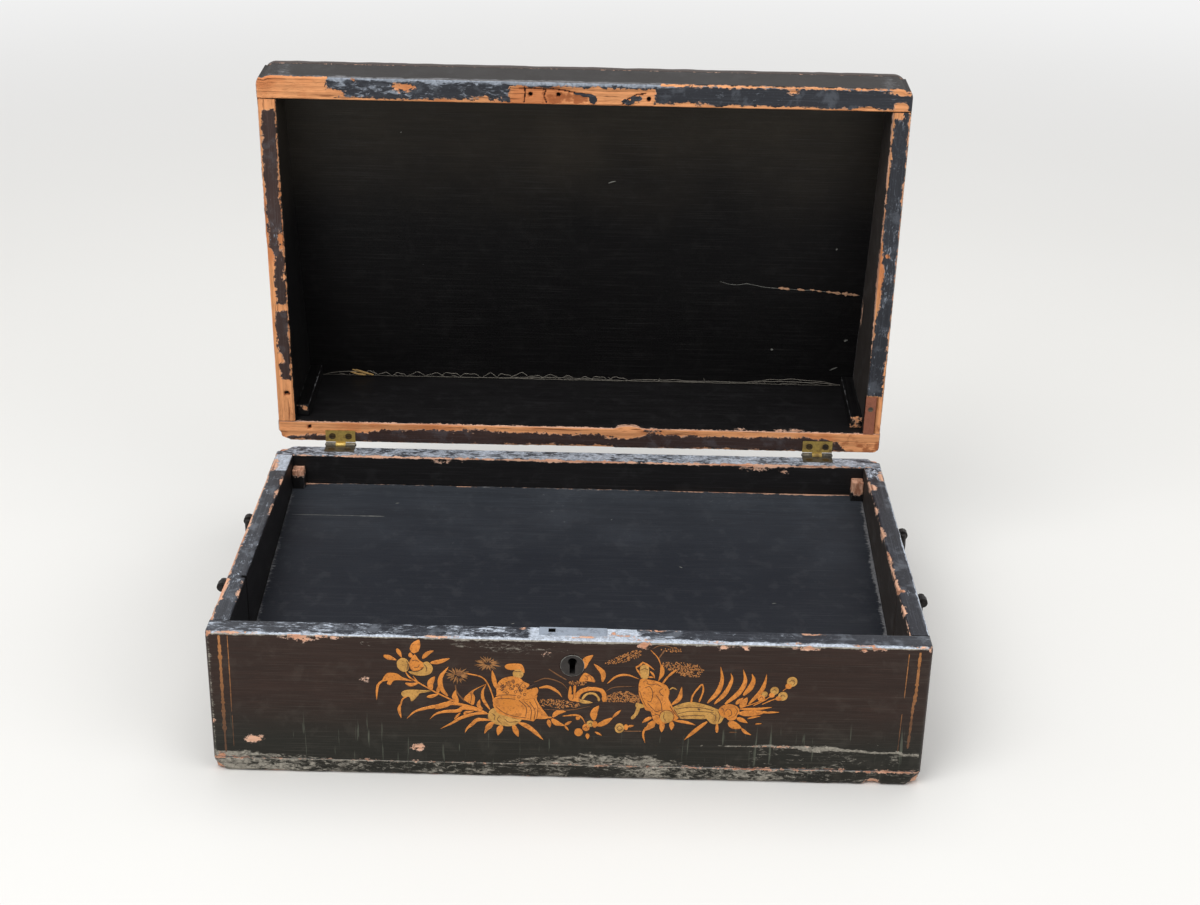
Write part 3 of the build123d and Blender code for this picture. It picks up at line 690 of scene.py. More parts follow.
def finish_called(name):
    """The named material, made the first time it is asked for."""
    if name in FINISHES:
        return FINISHES[name]
    c = colours()
    wood, rubbed = tuple(c.wood), tuple(c.rubbed)
    # The three pales below are rubbed colours: they paint real scuffs and dust, and also the painted
    # highlights along the lit arrises; the bluish last one is also painted sheen on the case's rims.
    tan = from_screen(164, 158, 146)
    dust = from_screen(118, 118, 120)
    chipped = from_screen(218, 170, 142)
    pale_wear_and_sheen = from_screen(200, 209, 222)
    makers = {
        "outside": lambda: board_finish("brown lacquer", c.outside, chipped, tan, 0.5, 0.4, 0.07),
        # Painted shade: a darker copy of the outside lacquer for the lid front's outer face, which faces up
        # when the lid stands open.
        "lid_front": lambda: board_finish(
            "lid front shaded lacquer", from_screen(25, 20, 18), wood, dust, 0.5, 0.5, 0.12
        ),
        "front": lambda: board_finish(
            "front lacquer", c.outside, chipped, tan, 0.5, 0.4, 0.06, (0.018, 0.05, from_screen(32, 31, 26)),
            from_screen(92, 96, 84),
        ),
        "rim": lambda: board_finish("slate rim lacquer", c.rim, wood, rubbed, 0.4, 0.42, 0.34),
        "case_rim": lambda: board_finish("case rim lacquer", c.rim, chipped, pale_wear_and_sheen, 0.4, 0.42, 0.34),
        "dark_rim": lambda: board_finish(
            "dark rim lacquer", from_screen(33, 34, 41), chipped, pale_wear_and_sheen, 0.4, 0.42, 0.24
        ),
        "rim_brown": lambda: board_finish("brown rim lacquer", c.rim_brown, wood, rubbed, 0.5, 0.45, 0.2),
        # Painted shade: the fade darkens the lining downwards from 0.335 m to near-black below 0.212 m, low
        # in the open lid towards the hinge.
        "lid_inside": lambda: board_finish(
            "lid lining lacquer", c.lid_inside, wood, dust, 0.4, 0.55, 0.03,
            (0.212, 0.335, from_screen(9, 8, 9))
        ),
        "case_inside": lambda: board_finish(
            "case lining lacquer", c.case_inside, chipped, dust, 0.4, 0.5, 0.08
        ),
        # Painted light, with dust mottle: a paler copy of the lining lacquer for the right inner walls of the
        # case and the lid, which face the key lamp.
        "dusty_inside": lambda: board_finish(
            "lit dusty lining lacquer", from_screen(54, 49, 46), chipped, dust, 0.5, 0.6, 0.3
        ),
        # Painted shade: the fade darkens the floor downwards from 0.0735 m, darkest below 0.052 m, towards
        # the front wall.
        "floor": lambda: board_finish(
            "inner floor lacquer", c.floor, chipped, dust, 0.5, 0.6, 0.1,
            (0.052, 0.0735, from_screen(27, 30, 37))
        ),
        "wood": lambda: bare_wood_finish("bare wood", wood),
        "red_wood": lambda: bare_wood_finish("red wood", from_screen(140, 84, 62)),
        "gilt": lambda: gilt_finish("gilding", c.gilt, from_screen(116, 62, 26)),
        "pale_gilt": lambda: gilt_finish("pale gilding", from_screen(188, 140, 66), from_screen(118, 78, 34)),
        "thin_gilt": lambda: gilt_finish("worn gilding", from_screen(116, 74, 34), from_screen(54, 36, 24)),
        "dot_gilt": lambda: gilt_finish("dotted gilding", from_screen(172, 112, 52), from_screen(96, 58, 30)),
        "head_gilt": lambda: gilt_finish(
            "flower-head gilding", from_screen(160, 110, 58), from_screen(78, 54, 36)
        ),
        "stripe": lambda: gilt_finish(
            "stripe gilding", from_screen(164, 106, 52), from_screen(66, 45, 33), 0.02, 0.085
        ),
        "line": lambda: plain_finish("drawn line", c.line),
        # Painted shade: near-black for the cut walls of the keyhole, the plate's bed, the bolt's room and the
        # catch hole.
        "hole": lambda: plain_finish("black hole", from_screen(14, 12, 11), 0.9, 0.3),
        "chip": lambda: plain_finish("pale chip", from_screen(208, 160, 126), 0.85, 0.35),
        "scuff": lambda: plain_finish("pale scuff", from_screen(138, 138, 132), 0.8, 0.4),
        "brass": lambda: metal_finish("hinge brass", c.brass, from_screen(120, 96, 52), 0.4, 0.55, 0.55),
        "grey_brass": lambda: metal_finish(
            "greyed brass", from_screen(112, 106, 92), from_screen(60, 56, 50), 0.45, 0.8
        ),
        "dark_brass": lambda: metal_finish(
            "screw brass", from_screen(96, 76, 44), from_screen(46, 38, 28), 0.5, 0.6
        ),
        "plate": lambda: metal_finish(
            "keyhole plate", from_screen(52, 48, 46), from_screen(36, 33, 31), 0.5, 0.4
        ),
        "iron": lambda: metal_finish("black iron", c.iron, from_screen(34, 30, 28), 0.42, 0.8),
        # The lock plate: rubbed steel whose pale bluish colour is also painted sheen, painted black below its
        # top as shade in the catch hole.
        "bright_steel": lambda: metal_finish(
            "rubbed plate with painted sheen", from_screen(158, 168, 182), from_screen(96, 100, 108), 0.45, 0.3, 0.6,
            CASE_HEIGHT * MM
        ),
        "steel": lambda: metal_finish("worn steel", c.steel, from_screen(52, 52, 56), 0.4, 0.85),
        "straw": lambda: plain_finish("dry straw", from_screen(196, 158, 96), 0.7, 0.3),
        "fibre": lambda: plain_finish("grey fibre", from_screen(146, 140, 130), 0.85, 0.4),
    }
    FINISHES[name] = makers[name]()
    return FINISHES[name]


def old_scuffs(board, seed):
    """Faint wide patches where a plain face was rubbed."""
    return 0.1 + 0.36 * rough_noise(board.flat, 42.0, seed)


def board_noise(board, coarse, small, seed, step=1):
    """Two kinds of noise over a board, with coarse and with small features."""
    return rough_noise(board.flat, coarse, seed), rough_noise(board.flat, small, seed + step)


def case_heights():
    """Heights of the mesh lines of the case's back and sides."""
    zones = ((CASE_HEIGHT - 9, CASE_HEIGHT, 1.1), (BOTTOM, BOTTOM + 9, 1.4))
    return lines(BOTTOM, CASE_HEIGHT, 3.2, zones, edge_zones(BOTTOM, CASE_HEIGHT))


def lid_heights(step=4.5):
    """Heights of the mesh lines of the lid's walls, from the rim."""
    return lines(0.0, LID_WALL, step, ((0.0, 8.0, 1.1),), edge_zones(0.0, LID_WALL))


def put_board(board, name, node, slots, grain_axis, body):
    """Wears a board, makes its object, and lets it stand for its CAD solid."""
    board.wear(sizes().lacquer / MM)
    used = sorted(set(slots))
    materials = [finish_called(key) for key in used]
    piece = board.mesh(name, materials, [used.index(key) for key in slots], grain_axis, body == "lid")
    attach(piece, body)
    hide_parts(node)
    return piece


# Case boards


def make_case_front():
    """Front board: chipped rim, keyhole, lock mortise and the scuffed foot of its face."""
    step, arris = grid_and_arris()
    xs = lines(
        -HALF_X, HALF_X, step, (),
        [*edge_zones(-HALF_X, HALF_X), *(p + d for p in LOCK_PLATE for d in (-0.1, 0.1))]
    )
    ys = lines(-HALF_Y, -INNER_Y, 1.0, (), [*edge_zones(-HALF_Y, -INNER_Y), -114.6, -114.4])
    top = CASE_HEIGHT
    zs = lines(BOTTOM, top, 2.6, ((BOTTOM, 30.0, 1.2), (top - 9, top, 1.1)), edge_zones(BOTTOM, top))
    board = Board(xs, ys, zs)
    board.round_off((3.0, 3.0, 0.2, 0.2), (arris, arris, 1.3 * arris, 0.8 * arris), 1.0, 0.15)
    x, y, z = board.flat.T
    noise, fine = board_noise(board, 6.0, 2.4, 1)
    outer, down = y + HALF_Y, top - z
    on_rim = down < 1.0
    face = outer < 0.6
    edge = np.hypot(outer, np.where(face, 2.4, 1.0) * down)
    rim_chips = (
        (-178, 1.2, 6, 0.7), (40, 2.6, 4, 0.5), (79, 1.6, 3, 0.6), (119, 2.2, 4, 0.7), (158, 1.8, 5, 0.9),
        (28, 6.6, 5.0, 0.8), (9, 4.2, 6.6, 0.5), (23.6, 8.6, 1.0, 2.0), (-24.6, 12.2, 1.8, 1.6),
        (130, 12.4, 5.0, 0.9), (-70, 1.4, 5, 0.7), (47, 12.6, 4.0, 0.7), (186, 1.2, 3, 0.8),
    )
    bare = np.where(on_rim, spots(x, outer, rim_chips) + 0.5 * fine, -9.0)
    face_chips = (
        (-168.5, 20.9, 4.6, 2.1), (-80.8, 18.2, 3.6, 1.9), (-108.2, 59.7, 1.6, 1.0), (-143.5, 85.0, 7.6, 1.2),
        (-140.0, 83.6, 3.4, 1.6), (-126.6, 85.6, 5.0, 0.6), (40.2, 84.6, 3.0, 2.2), (81.8, 84.7, 3.0, 1.3),
        (93.1, 84.9, 2.0, 1.3), (125.9, 85.3, 5.0, 0.8), (155.7, 84.8, 1.6, 1.1), (163.0, 85.6, 3.0, 0.7),
        (-187.5, 9.5, 2.6, 2.0), (-11.2, 77.8, 1.5, 0.6), (-191.0, 31.0, 0.8, 1.4), (110.0, 23.2, 6.0, 0.4),
    )
    bare = np.maximum(bare, np.where(face, spots(x, z, face_chips) + 0.7 * fine, -9.0))
    seam = band(
        x, ((-192, 0.7), (-160, -0.6), (-60, -0.4), (0, -0.5), (80, 0.1), (192, 0.1))
    ) + 1.3 * fine - (z - BOTTOM)
    board.stain = np.where(face & (z < 14), 0.42 + 0.3 * noise, 0.0)
    board.bare = np.maximum(bare, np.where(face, seam, -9.0))
    crust = band(
        x,
        ((-192, 16), (-155, 14.5), (-125, 10), (-70, 9.5), (-30, 14), (0, 18), (35, 19), (62, 12), (192, 13))
    )
    amount = band(
        x,
        ((-192, 0.7), (-150, 0.6), (-120, 0.26), (-60, 0.16), (-25, 0.5), (40, 0.54), (70, 0.3), (192, 0.44))
    )
    scuffed = amount * np.clip((crust + 4.0 * noise - z) / 3.0, 0.0, 1.0)
    ridge_z = band(
        x, ((60, 23.0), (94, 23.6), (120, 23.2), (150, 22.0), (175, 20.6), (192, 19.4))
    ) + 1.1 * noise
    ridge_wide = band(
        x, ((70, 0.3), (98, 0.9), (112, 2.4), (122, 1.4), (134, 3.6), (150, 1.8), (164, 1.6), (192, 2.6))
    )
    ridge = np.where(
        (x > 72) & (x < 191), 1.05 - np.abs(z - ridge_z) / (ridge_wide * (1.0 + 0.6 * fine)), 0.0
    )
    ridge = np.maximum(ridge, 0.2 * spots(x, z, ((166, 26.5, 8, 2.2), (183, 28.5, 4, 3.4))) + 0.25 * fine)
    under_ridge = np.where((x > 98) & (z < ridge_z), 0.26 + 0.26 * noise, 0.0)
    scratches = (
        0.6 - np.abs(z - band(x, ((-75, 83), (-20, 81), (20, 80), (60, 83)))) / 11.0
        - np.abs(x + 32) / 120.0
    )
    scratches = np.maximum(scratches, 0.16 * spot(x, z, -106, 82.0, 10, 3.6) + 0.35 * fine)
    left_corner = 0.5 - np.abs(x + 191) / 5.0 + 0.2 * noise
    rubbed = np.clip(np.maximum.reduce([scuffed, ridge, under_ridge, scratches, left_corner]), 0.0, 0.85)
    rubbed = np.where(face, rubbed, 0.0)
    # Painted highlight, with wear: a pale band along the arrises of the rim and the face.
    lit_worn_edge = band(x, ((-192, 3.0), (-120, 2.8), (-30, 3.8), (40, 4.4), (80, 3.8), (150, 3.4), (192, 3.0)))
    edge_light = np.clip(1.3 - edge / lit_worn_edge + 0.5 * noise + 0.25 * fine, 0.0, 1.0)
    rim_cloud = np.where(
        on_rim,
        band(x, ((-192, 0.3), (-150, 0.42), (-10, 0.5), (40, 0.42), (90, 0.16), (192, 0.2))) + 0.3 * noise,
        0.0
    )
    plate_rub = 0.95 * np.clip(1.0 - np.maximum(np.abs(x - 7.0) - 27.0, 0) / 5.0 + 0.2 * noise, 0, 1) * on_rim
    board.rubbed = np.maximum.reduce([rubbed, edge_light, rim_cloud, plate_rub])
    board.chip(HALF_X, -HALF_Y, top, 3.5, 0.9)
    board.chip(-HALF_X, -HALF_Y, top, 3.5, 0.8)
    below = (x > 60) & (x < 190) & face & (z < ridge_z)
    board.points[below, 1] += 0.4
    sink_bed(board, *LOCK_PLATE, -114.5, -105.0, LOCK_PLATE_SINK, 1)
    piece = put_board(
        board, "case_front_board", "case_front",
        ("outside", "outside", "front", "case_inside", "outside", "case_rim"), 0, "case",
    )
    cut_keyhole(piece)


def oblong_ring(x0, x1, z0, z1):
    """The corners of an oblong, in order."""
    return [(x0, z0), (x1, z0), (x1, z1), (x0, z1)]


def cut_keyhole(piece):
    """Opens the keyhole, the bed of its plate, the bolt's room and the catch hole in the front board."""
    keyhole = []
    for step in range(19):
        angle = math.radians(-51 + step * (282 / 18))
        keyhole.append(
            (LOCK_X + KEYHOLE_RADIUS * math.cos(angle), KEYHOLE_Z + KEYHOLE_RADIUS * math.sin(angle))
        )
    keyhole += [(LOCK_X - 1.5, 66.6), (LOCK_X + 1.5, 66.6)]
    turns = np.linspace(0, math.tau, 48, endpoint=False)
    bed = [(LOCK_X + 6.52 * math.cos(a), ESCUTCHEON_Z + 6.52 * math.sin(a)) for a in turns]
    bolt_room = oblong_ring(-12.7, 16.3, 63.0, 84.0)
    catch = oblong_ring(-11.2, -7.2, 83.5, 88.5)
    # Each ring with the two y where its cut starts and ends.
    cuts = (
        (keyhole, -125.0, -100.0), (bed, -125.0, -119.15), (bolt_room, -113.5, -107.25),
        (catch, -111.3, -107.1)
    )
    for number, (ring, start, end) in enumerate(cuts):
        points = [(px, start, pz) for px, pz in ring] + [(px, end, pz) for px, pz in ring]
        count = len(ring)
        faces = [tuple(range(count)), tuple(reversed(range(count, 2 * count)))]
        faces += [(i, i + count, (i + 1) % count + count, (i + 1) % count) for i in range(count)]
        mesh = bpy.data.meshes.new(f"keyhole_cutter_{number}")
        mesh.from_pydata([tuple(c * MM for c in point) for point in points], [], faces)
        # Painted shade: the cut walls take the near-black hole finish.
        mesh.materials.append(finish_called("hole"))
        cutter = add_object(mesh.name, mesh)
        modifier = piece.modifiers.new("keyhole", "BOOLEAN")
        modifier.operation = "DIFFERENCE"
        modifier.solver = "EXACT"
        modifier.material_mode = "TRANSFER"
        modifier.object = cutter
        settle(piece)
        bpy.data.objects.remove(cutter)
        bpy.data.meshes.remove(mesh)


def hinge_marks():
    """Mesh lines on both sides of each end of the hinge beds."""
    ends = [side * HINGE_X + end * HINGE_HALF for side in (-1, 1) for end in (-1, 1)]
    return [end + gap for end in ends for gap in (-0.12, 0.12)]


def bed_marks():
    """Mesh lines on both sides of the inner edge of the hinge beds."""
    return HALF_Y - HINGE_BED - 0.1, HALF_Y - HINGE_BED + 0.1


def let_in_hinges(board, sign):
    """Beds for the hinge leaves, in a back board's top (sign 1) or its underside (sign -1)."""
    for centre in (-HINGE_X, HINGE_X):
        sink_bed(
            board, centre - HINGE_HALF, centre + HINGE_HALF, HALF_Y - HINGE_BED, HALF_Y + 1, HINGE_SINK,
            sign
        )


def make_case_back():
    """Back board: pale worn rim with a bare strip along its inner edge, and broken corners."""
    step, arris = grid_and_arris()
    xs = lines(-HALF_X, HALF_X, step, (), [*edge_zones(-HALF_X, HALF_X), *hinge_marks()])
    ys = lines(INNER_Y, HALF_Y, 1.0, (), [*edge_zones(INNER_Y, HALF_Y), *bed_marks()])
    zs = case_heights()
    board = Board(xs, ys, zs)
    board.round_off((0.2, 0.2, 3.0, 3.0), (arris, arris, arris, arris), 1.0, 0.15)
    x, y, z = board.flat.T
    noise, fine = board_noise(board, 7.0, 2.2, 11)
    inner, down = y - INNER_Y, CASE_HEIGHT - z
    on_rim = down < 1.0
    width = band(
        x,
        (
            (-181, 0.0), (-148, 0.4), (-140, 1.8), (-60, 1.2), (0, 2.0), (60, 1.4), (120, 2.2), (168, 1.2),
            (180, 0.3)
        )
    )
    reach = np.hypot(inner, np.where(on_rim, 0.7, 1.5) * down)
    strip = np.where(on_rim | (inner < 0.5), 0.75 * width + 1.1 * noise + 0.5 * fine - reach, -9.0)
    low_chips = spots(x, down, ((109.6, 2.8, 5.0, 0.8), (131.0, 4.4, 1.8, 1.0), (-86.0, 2.6, 5.0, 0.7)))
    strip = np.maximum(strip, np.where(inner < 0.5, low_chips + 0.4 * fine, -9.0))
    outer_gap = np.hypot(HALF_Y - y, down)
    board.bare = np.maximum(strip, 0.2 + 1.2 * fine - outer_gap)
    # Painted highlight, with wear, in the pale band along the outer arris.
    board.rubbed = np.maximum(
        np.where(on_rim, 0.62 + 0.25 * noise, 0.0), np.clip(1.0 - outer_gap / 2.0, 0, 1)
    )
    board.rubbed = np.maximum(board.rubbed, np.where(y > HALF_Y - 1, old_scuffs(board, 13), 0.0))
    board.chip(-HALF_X, HALF_Y, CASE_HEIGHT, 9.0, 2.6)
    board.chip(HALF_X, HALF_Y, CASE_HEIGHT, 7.0, 1.6)
    let_in_hinges(board, 1)
    put_board(
        board, "case_back_board", "case_back",
        ("outside", "outside", "case_inside", "outside", "outside", "case_rim"), 0, "case",
    )


def make_case_side(side):
    """Side board with its partition groove and the chipped inner or outer edge of its rim."""
    step, arris = grid_and_arris()
    left = side < 0
    low, high = sorted((side * INNER_X, side * HALF_X))
    marks = [g + d for g in GROOVE for d in (-0.08, 0.08)]
    xs = lines(low, high, 1.0, (), edge_zones(low, high))
    ys = lines(-INNER_Y, INNER_Y, step, (), [*edge_zones(-INNER_Y, INNER_Y), *marks])
    zs = case_heights()
    board = Board(xs, ys, zs)
    board.round_off((0.15, 0.15, 0.15, 0.15), (arris, arris, 0.25, 0.25), 1.0, 0.15)
    x, y, z = board.flat.T
    noise, fine = board_noise(board, 7.0, 2.2, 21 + left, 2)
    down = CASE_HEIGHT - z
    inner, outer = np.abs(x) - INNER_X, HALF_X - np.abs(x)
    on_rim = down < 1.0
    if left:
        table = (
            (-106, 1.3), (-88, 1.0), (-82, 2.4), (-64, 2.6), (-58, 1.4), (-20, 1.5), (10, 1.7), (40, 1.2),
            (70, 1.3),
            (78, 0.2), (106, 0.6),
        )
        bare = band(y, table) + 0.8 * noise + 0.5 * fine - np.hypot(outer, 0.8 * down)
        extra = [
            spot(y, outer, 90, 2.0, 7, 2.4), spot(y, inner, 27, 0.6, 5, 1.0), spot(y, inner, 50, 0.6, 5, 1.1),
            spot(y, inner, 66, 0.6, 4, 1.0), spot(y, inner, -74, 0.5, 6, 0.9),
        ]
    else:
        table = (
            (-106, 0.3), (-97, 0.7), (-93, -0.5), (-86, -0.5), (-82, 1.4), (-75, 1.3), (-71, -0.7),
            (-62, -0.7),
            (-57, 1.8), (-50, 1.6), (-45, 0.9), (-12, 0.9), (-6, -0.7), (6, -0.7), (10, 1.8), (18, 1.5),
            (22, -0.5),
            (39, -0.5), (43, 1.5), (48, 1.2), (52, -0.5), (70, -0.5), (76, 1.6), (83, 1.4), (88, -0.4),
            (106, -0.3),
        )
        bare = band(y, table) + 0.5 * noise + 0.6 * fine - np.hypot(inner, 0.6 * down)
        extra = [
            spot(y, inner, 77, 2.4, 4, 2.6), spot(y, outer, 92, 1.6, 6, 2.0),
            spot(y, inner, -19, 0.8, 5, 1.0)
        ]
    board.bare = np.maximum(bare, np.where(on_rim, np.max(extra, axis=0) + 0.5 * fine, -9.0))
    # Painted highlight, with wear: pale bands along the outer and inner arrises.
    outer_light = np.clip(1.0 - np.hypot(outer, down) / 1.9 + 0.3 * noise, 0, 1)
    inner_light = np.clip(0.4 - np.hypot(inner, down) / 1.6 + 0.3 * noise, 0, 1)
    rear_start, rear_pale = (81.0, 0.95) if left else (84.0, 0.55)
    rear = rear_pale * np.clip((y - rear_start) / 3.0 + 0.8 * noise, 0, 1) * on_rim
    plain = np.where(outer < 1, old_scuffs(board, 25 + left), 0.0)
    cloudy = np.where(on_rim, (0.25 if left else 0.12) + 0.25 * noise, 0)
    board.rubbed = np.maximum.reduce([outer_light, inner_light, rear, cloudy, plain])
    cut = (y > GROOVE[0]) & (y < GROOVE[1]) & (z > GROOVE_FOOT)
    thinned = (HALF_X - np.abs(board.points[:, 0])) * (SIDE_WALL - GROOVE_DEPTH) / SIDE_WALL
    board.points[cut, 0] = (np.sign(side) * (HALF_X - thinned))[cut]
    name = "left" if left else "right"
    # The right board's inner face takes the paler lining: painted light, with dust.
    slots = ["outside", "case_inside"] if left else ["dusty_inside", "outside"]
    put_board(
        board, f"case_{name}_board", f"case_{name}",
        (*slots, "case_inside", "case_inside", "outside", "case_rim" if left else "dark_rim"), 1, "case",
    )


def make_case_bottom():
    """Bottom board with a rubbed, splintered lower edge."""
    xs = lines(-HALF_X, HALF_X, 1.6, (), edge_zones(-HALF_X, HALF_X, (0.5, 1.0, 1.6)))
    ys = lines(
        -HALF_Y, HALF_Y, 5.0, ((-HALF_Y, -HALF_Y + 7, 1.1), (HALF_Y - 7, HALF_Y, 1.5)),
        edge_zones(-HALF_Y, HALF_Y, (0.5, 1.0, 1.6))
    )
    zs = lines(0.0, BOTTOM, 0.8)
    board = Board(xs, ys, zs)
    board.round_off((3.0, 3.0, 3.0, 3.0), (2.2, 2.2, 2.6, 2.2), 0.35, 1.0)
    x, y, z = board.flat.T
    noise, fine = board_noise(board, 8.0, 2.4, 31)
    outer = np.minimum(HALF_X - np.abs(x), HALF_Y - np.abs(y))
    front = y < -HALF_Y + 2
    low_edge = np.where(front, -0.4, 0.6) + 1.3 * noise + 0.8 * fine - np.hypot(outer, z)
    pink = band(
        x,
        (
            (-192, 0.3), (-150, -0.3), (0, -0.5), (18, 0.3), (60, -0.3), (100, 0.4), (150, -0.2),
            (178, 0.9), (192, 0.6)
        )
    )
    board.stain = np.where(front, 0.45 + 0.3 * noise, 0.2)
    seam = pink + 0.7 * noise + 1.0 * fine - (BOTTOM - z) * 0.9 - outer * 2
    board.bare = np.maximum(low_edge, np.where(front, seam, -9.0))
    crumbs = band(
        x,
        (
            (-192, 0.66), (-140, 0.55), (-100, 0.36), (-30, 0.44), (60, 0.4), (110, 0.5), (150, 0.34),
            (192, 0.46)
        )
    )
    # Painted highlight, with wear, along the upper outer arris.
    arris_light = np.clip(1.0 - (BOTTOM - z) / 1.3 + 0.5 * fine, 0, 1) * (outer < 1.4)
    low_light = np.clip(0.5 - z / 5.0, 0, 1)
    shade = np.maximum.reduce([crumbs + 0.25 * noise, arris_light, low_light])
    board.rubbed = np.where(front, np.clip(shade, 0, 1), np.clip(0.25 + 0.3 * noise, 0, 1)) * (outer < 2)
    board.chip(-HALF_X, -HALF_Y, 0.0, 7.0, 1.8)
    board.chip(HALF_X, -HALF_Y, 0.0, 8.0, 2.2)
    board.chip(HALF_X - 26, -HALF_Y, 0.0, 6.0, 1.2)
    slots = ("outside", "outside", "front", "outside", "outside", "case_inside")
    put_board(board, "case_bottom_board", "case_bottom", slots, 0, "case")


def make_inner_floor():
    """Thin sloping floor, chipped along its back edge and scratched along its grain."""
    low_x, high_x = -INNER_X + 0.2, INNER_X - 0.2
    low_y, high_y = -INNER_Y + 0.2, INNER_Y - 0.2
    xs = lines(low_x, high_x, 2.0, (), edge_zones(low_x, high_x, (0.4, 0.9)))
    ys = lines(
        low_y, high_y, 4.0, ((high_y - 8, high_y, 0.9), (low_y, low_y + 5, 1.0)),
        edge_zones(low_y, high_y, (0.4, 0.9))
    )
    zs = lines(0.0, FLOOR_BOARD, 1.2, (), (0.4, FLOOR_BOARD - 0.4, FLOOR_BOARD - 0.9))
    board = Board(xs, ys, zs)
    board.round_off((0.2, 0.2, 0.2, 0.2), (0.5, 0.5, 0.5, 0.6), 1.0, 0.3)
    x, y, z = board.flat.T
    noise, fine = board_noise(board, 9.0, 2.4, 41)
    back = high_y - y
    width = band(
        x,
        (
            (-181, 0.2), (-176, 1.8), (-150, 0.4), (-90, 0.2), (-30, 0.3), (40, 0.5), (100, 1.2),
            (150, 1.6), (181, 1.0)
        )
    )
    board.bare = np.where(z > FLOOR_BOARD - 1, width + 1.3 * noise + 0.7 * fine - back, -9.0)
    edge = np.minimum(high_x - np.abs(x), np.minimum(back, y - low_y))
    dusty = 0.02 + 0.16 * np.clip((y - 20.0) / 80.0, 0, 1) + 0.12 * noise
    right_edge = np.clip(1.2 - (high_x - x) / 3.4 + 0.45 * noise + 0.3 * fine, 0, 1) * (y < 96)
    board.rubbed = (
        np.maximum.reduce([np.clip(0.6 - edge / 9.0, 0, 1), dusty, right_edge]) * (z > FLOOR_BOARD - 1)
    )
    board.points[:, 2] += floor_height(y) - FLOOR_BOARD
    put_board(board, "inner_floor", "false_floor", ("floor",) * 6, 0, "case")


# Lid boards


def sloped(board, rigid=10.0):
    """Stretches a lid wall up to the sloping ceiling, leaving its rim as it is."""
    y, z = board.flat[:, 1], board.points[:, 2]
    top = ceiling(y) - LID_RIM
    stretched = rigid + (z - rigid) * (top - rigid) / (LID_WALL - rigid)
    board.points[:, 2] = LID_RIM + np.where(z < rigid, z, stretched)


SPLITS = (
    ((-35.0, 236.4), (-34.6, 233.0), (-35.2, 227.0)),
    (
        (-38.0, 235.4), (-30.0, 235.9), (-23.0, 235.2), (-19.0, 235.9), (-12.0, 234.8), (-6.0, 233.6),
        (0.0, 232.8), (4.0, 232.6)
    ),
    ((-22.5, 234.8), (-23.6, 231.0), (-22.2, 227.2)),
    ((22.8, 227.0), (26.0, 230.6), (31.0, 233.2), (36.0, 233.8)),
)


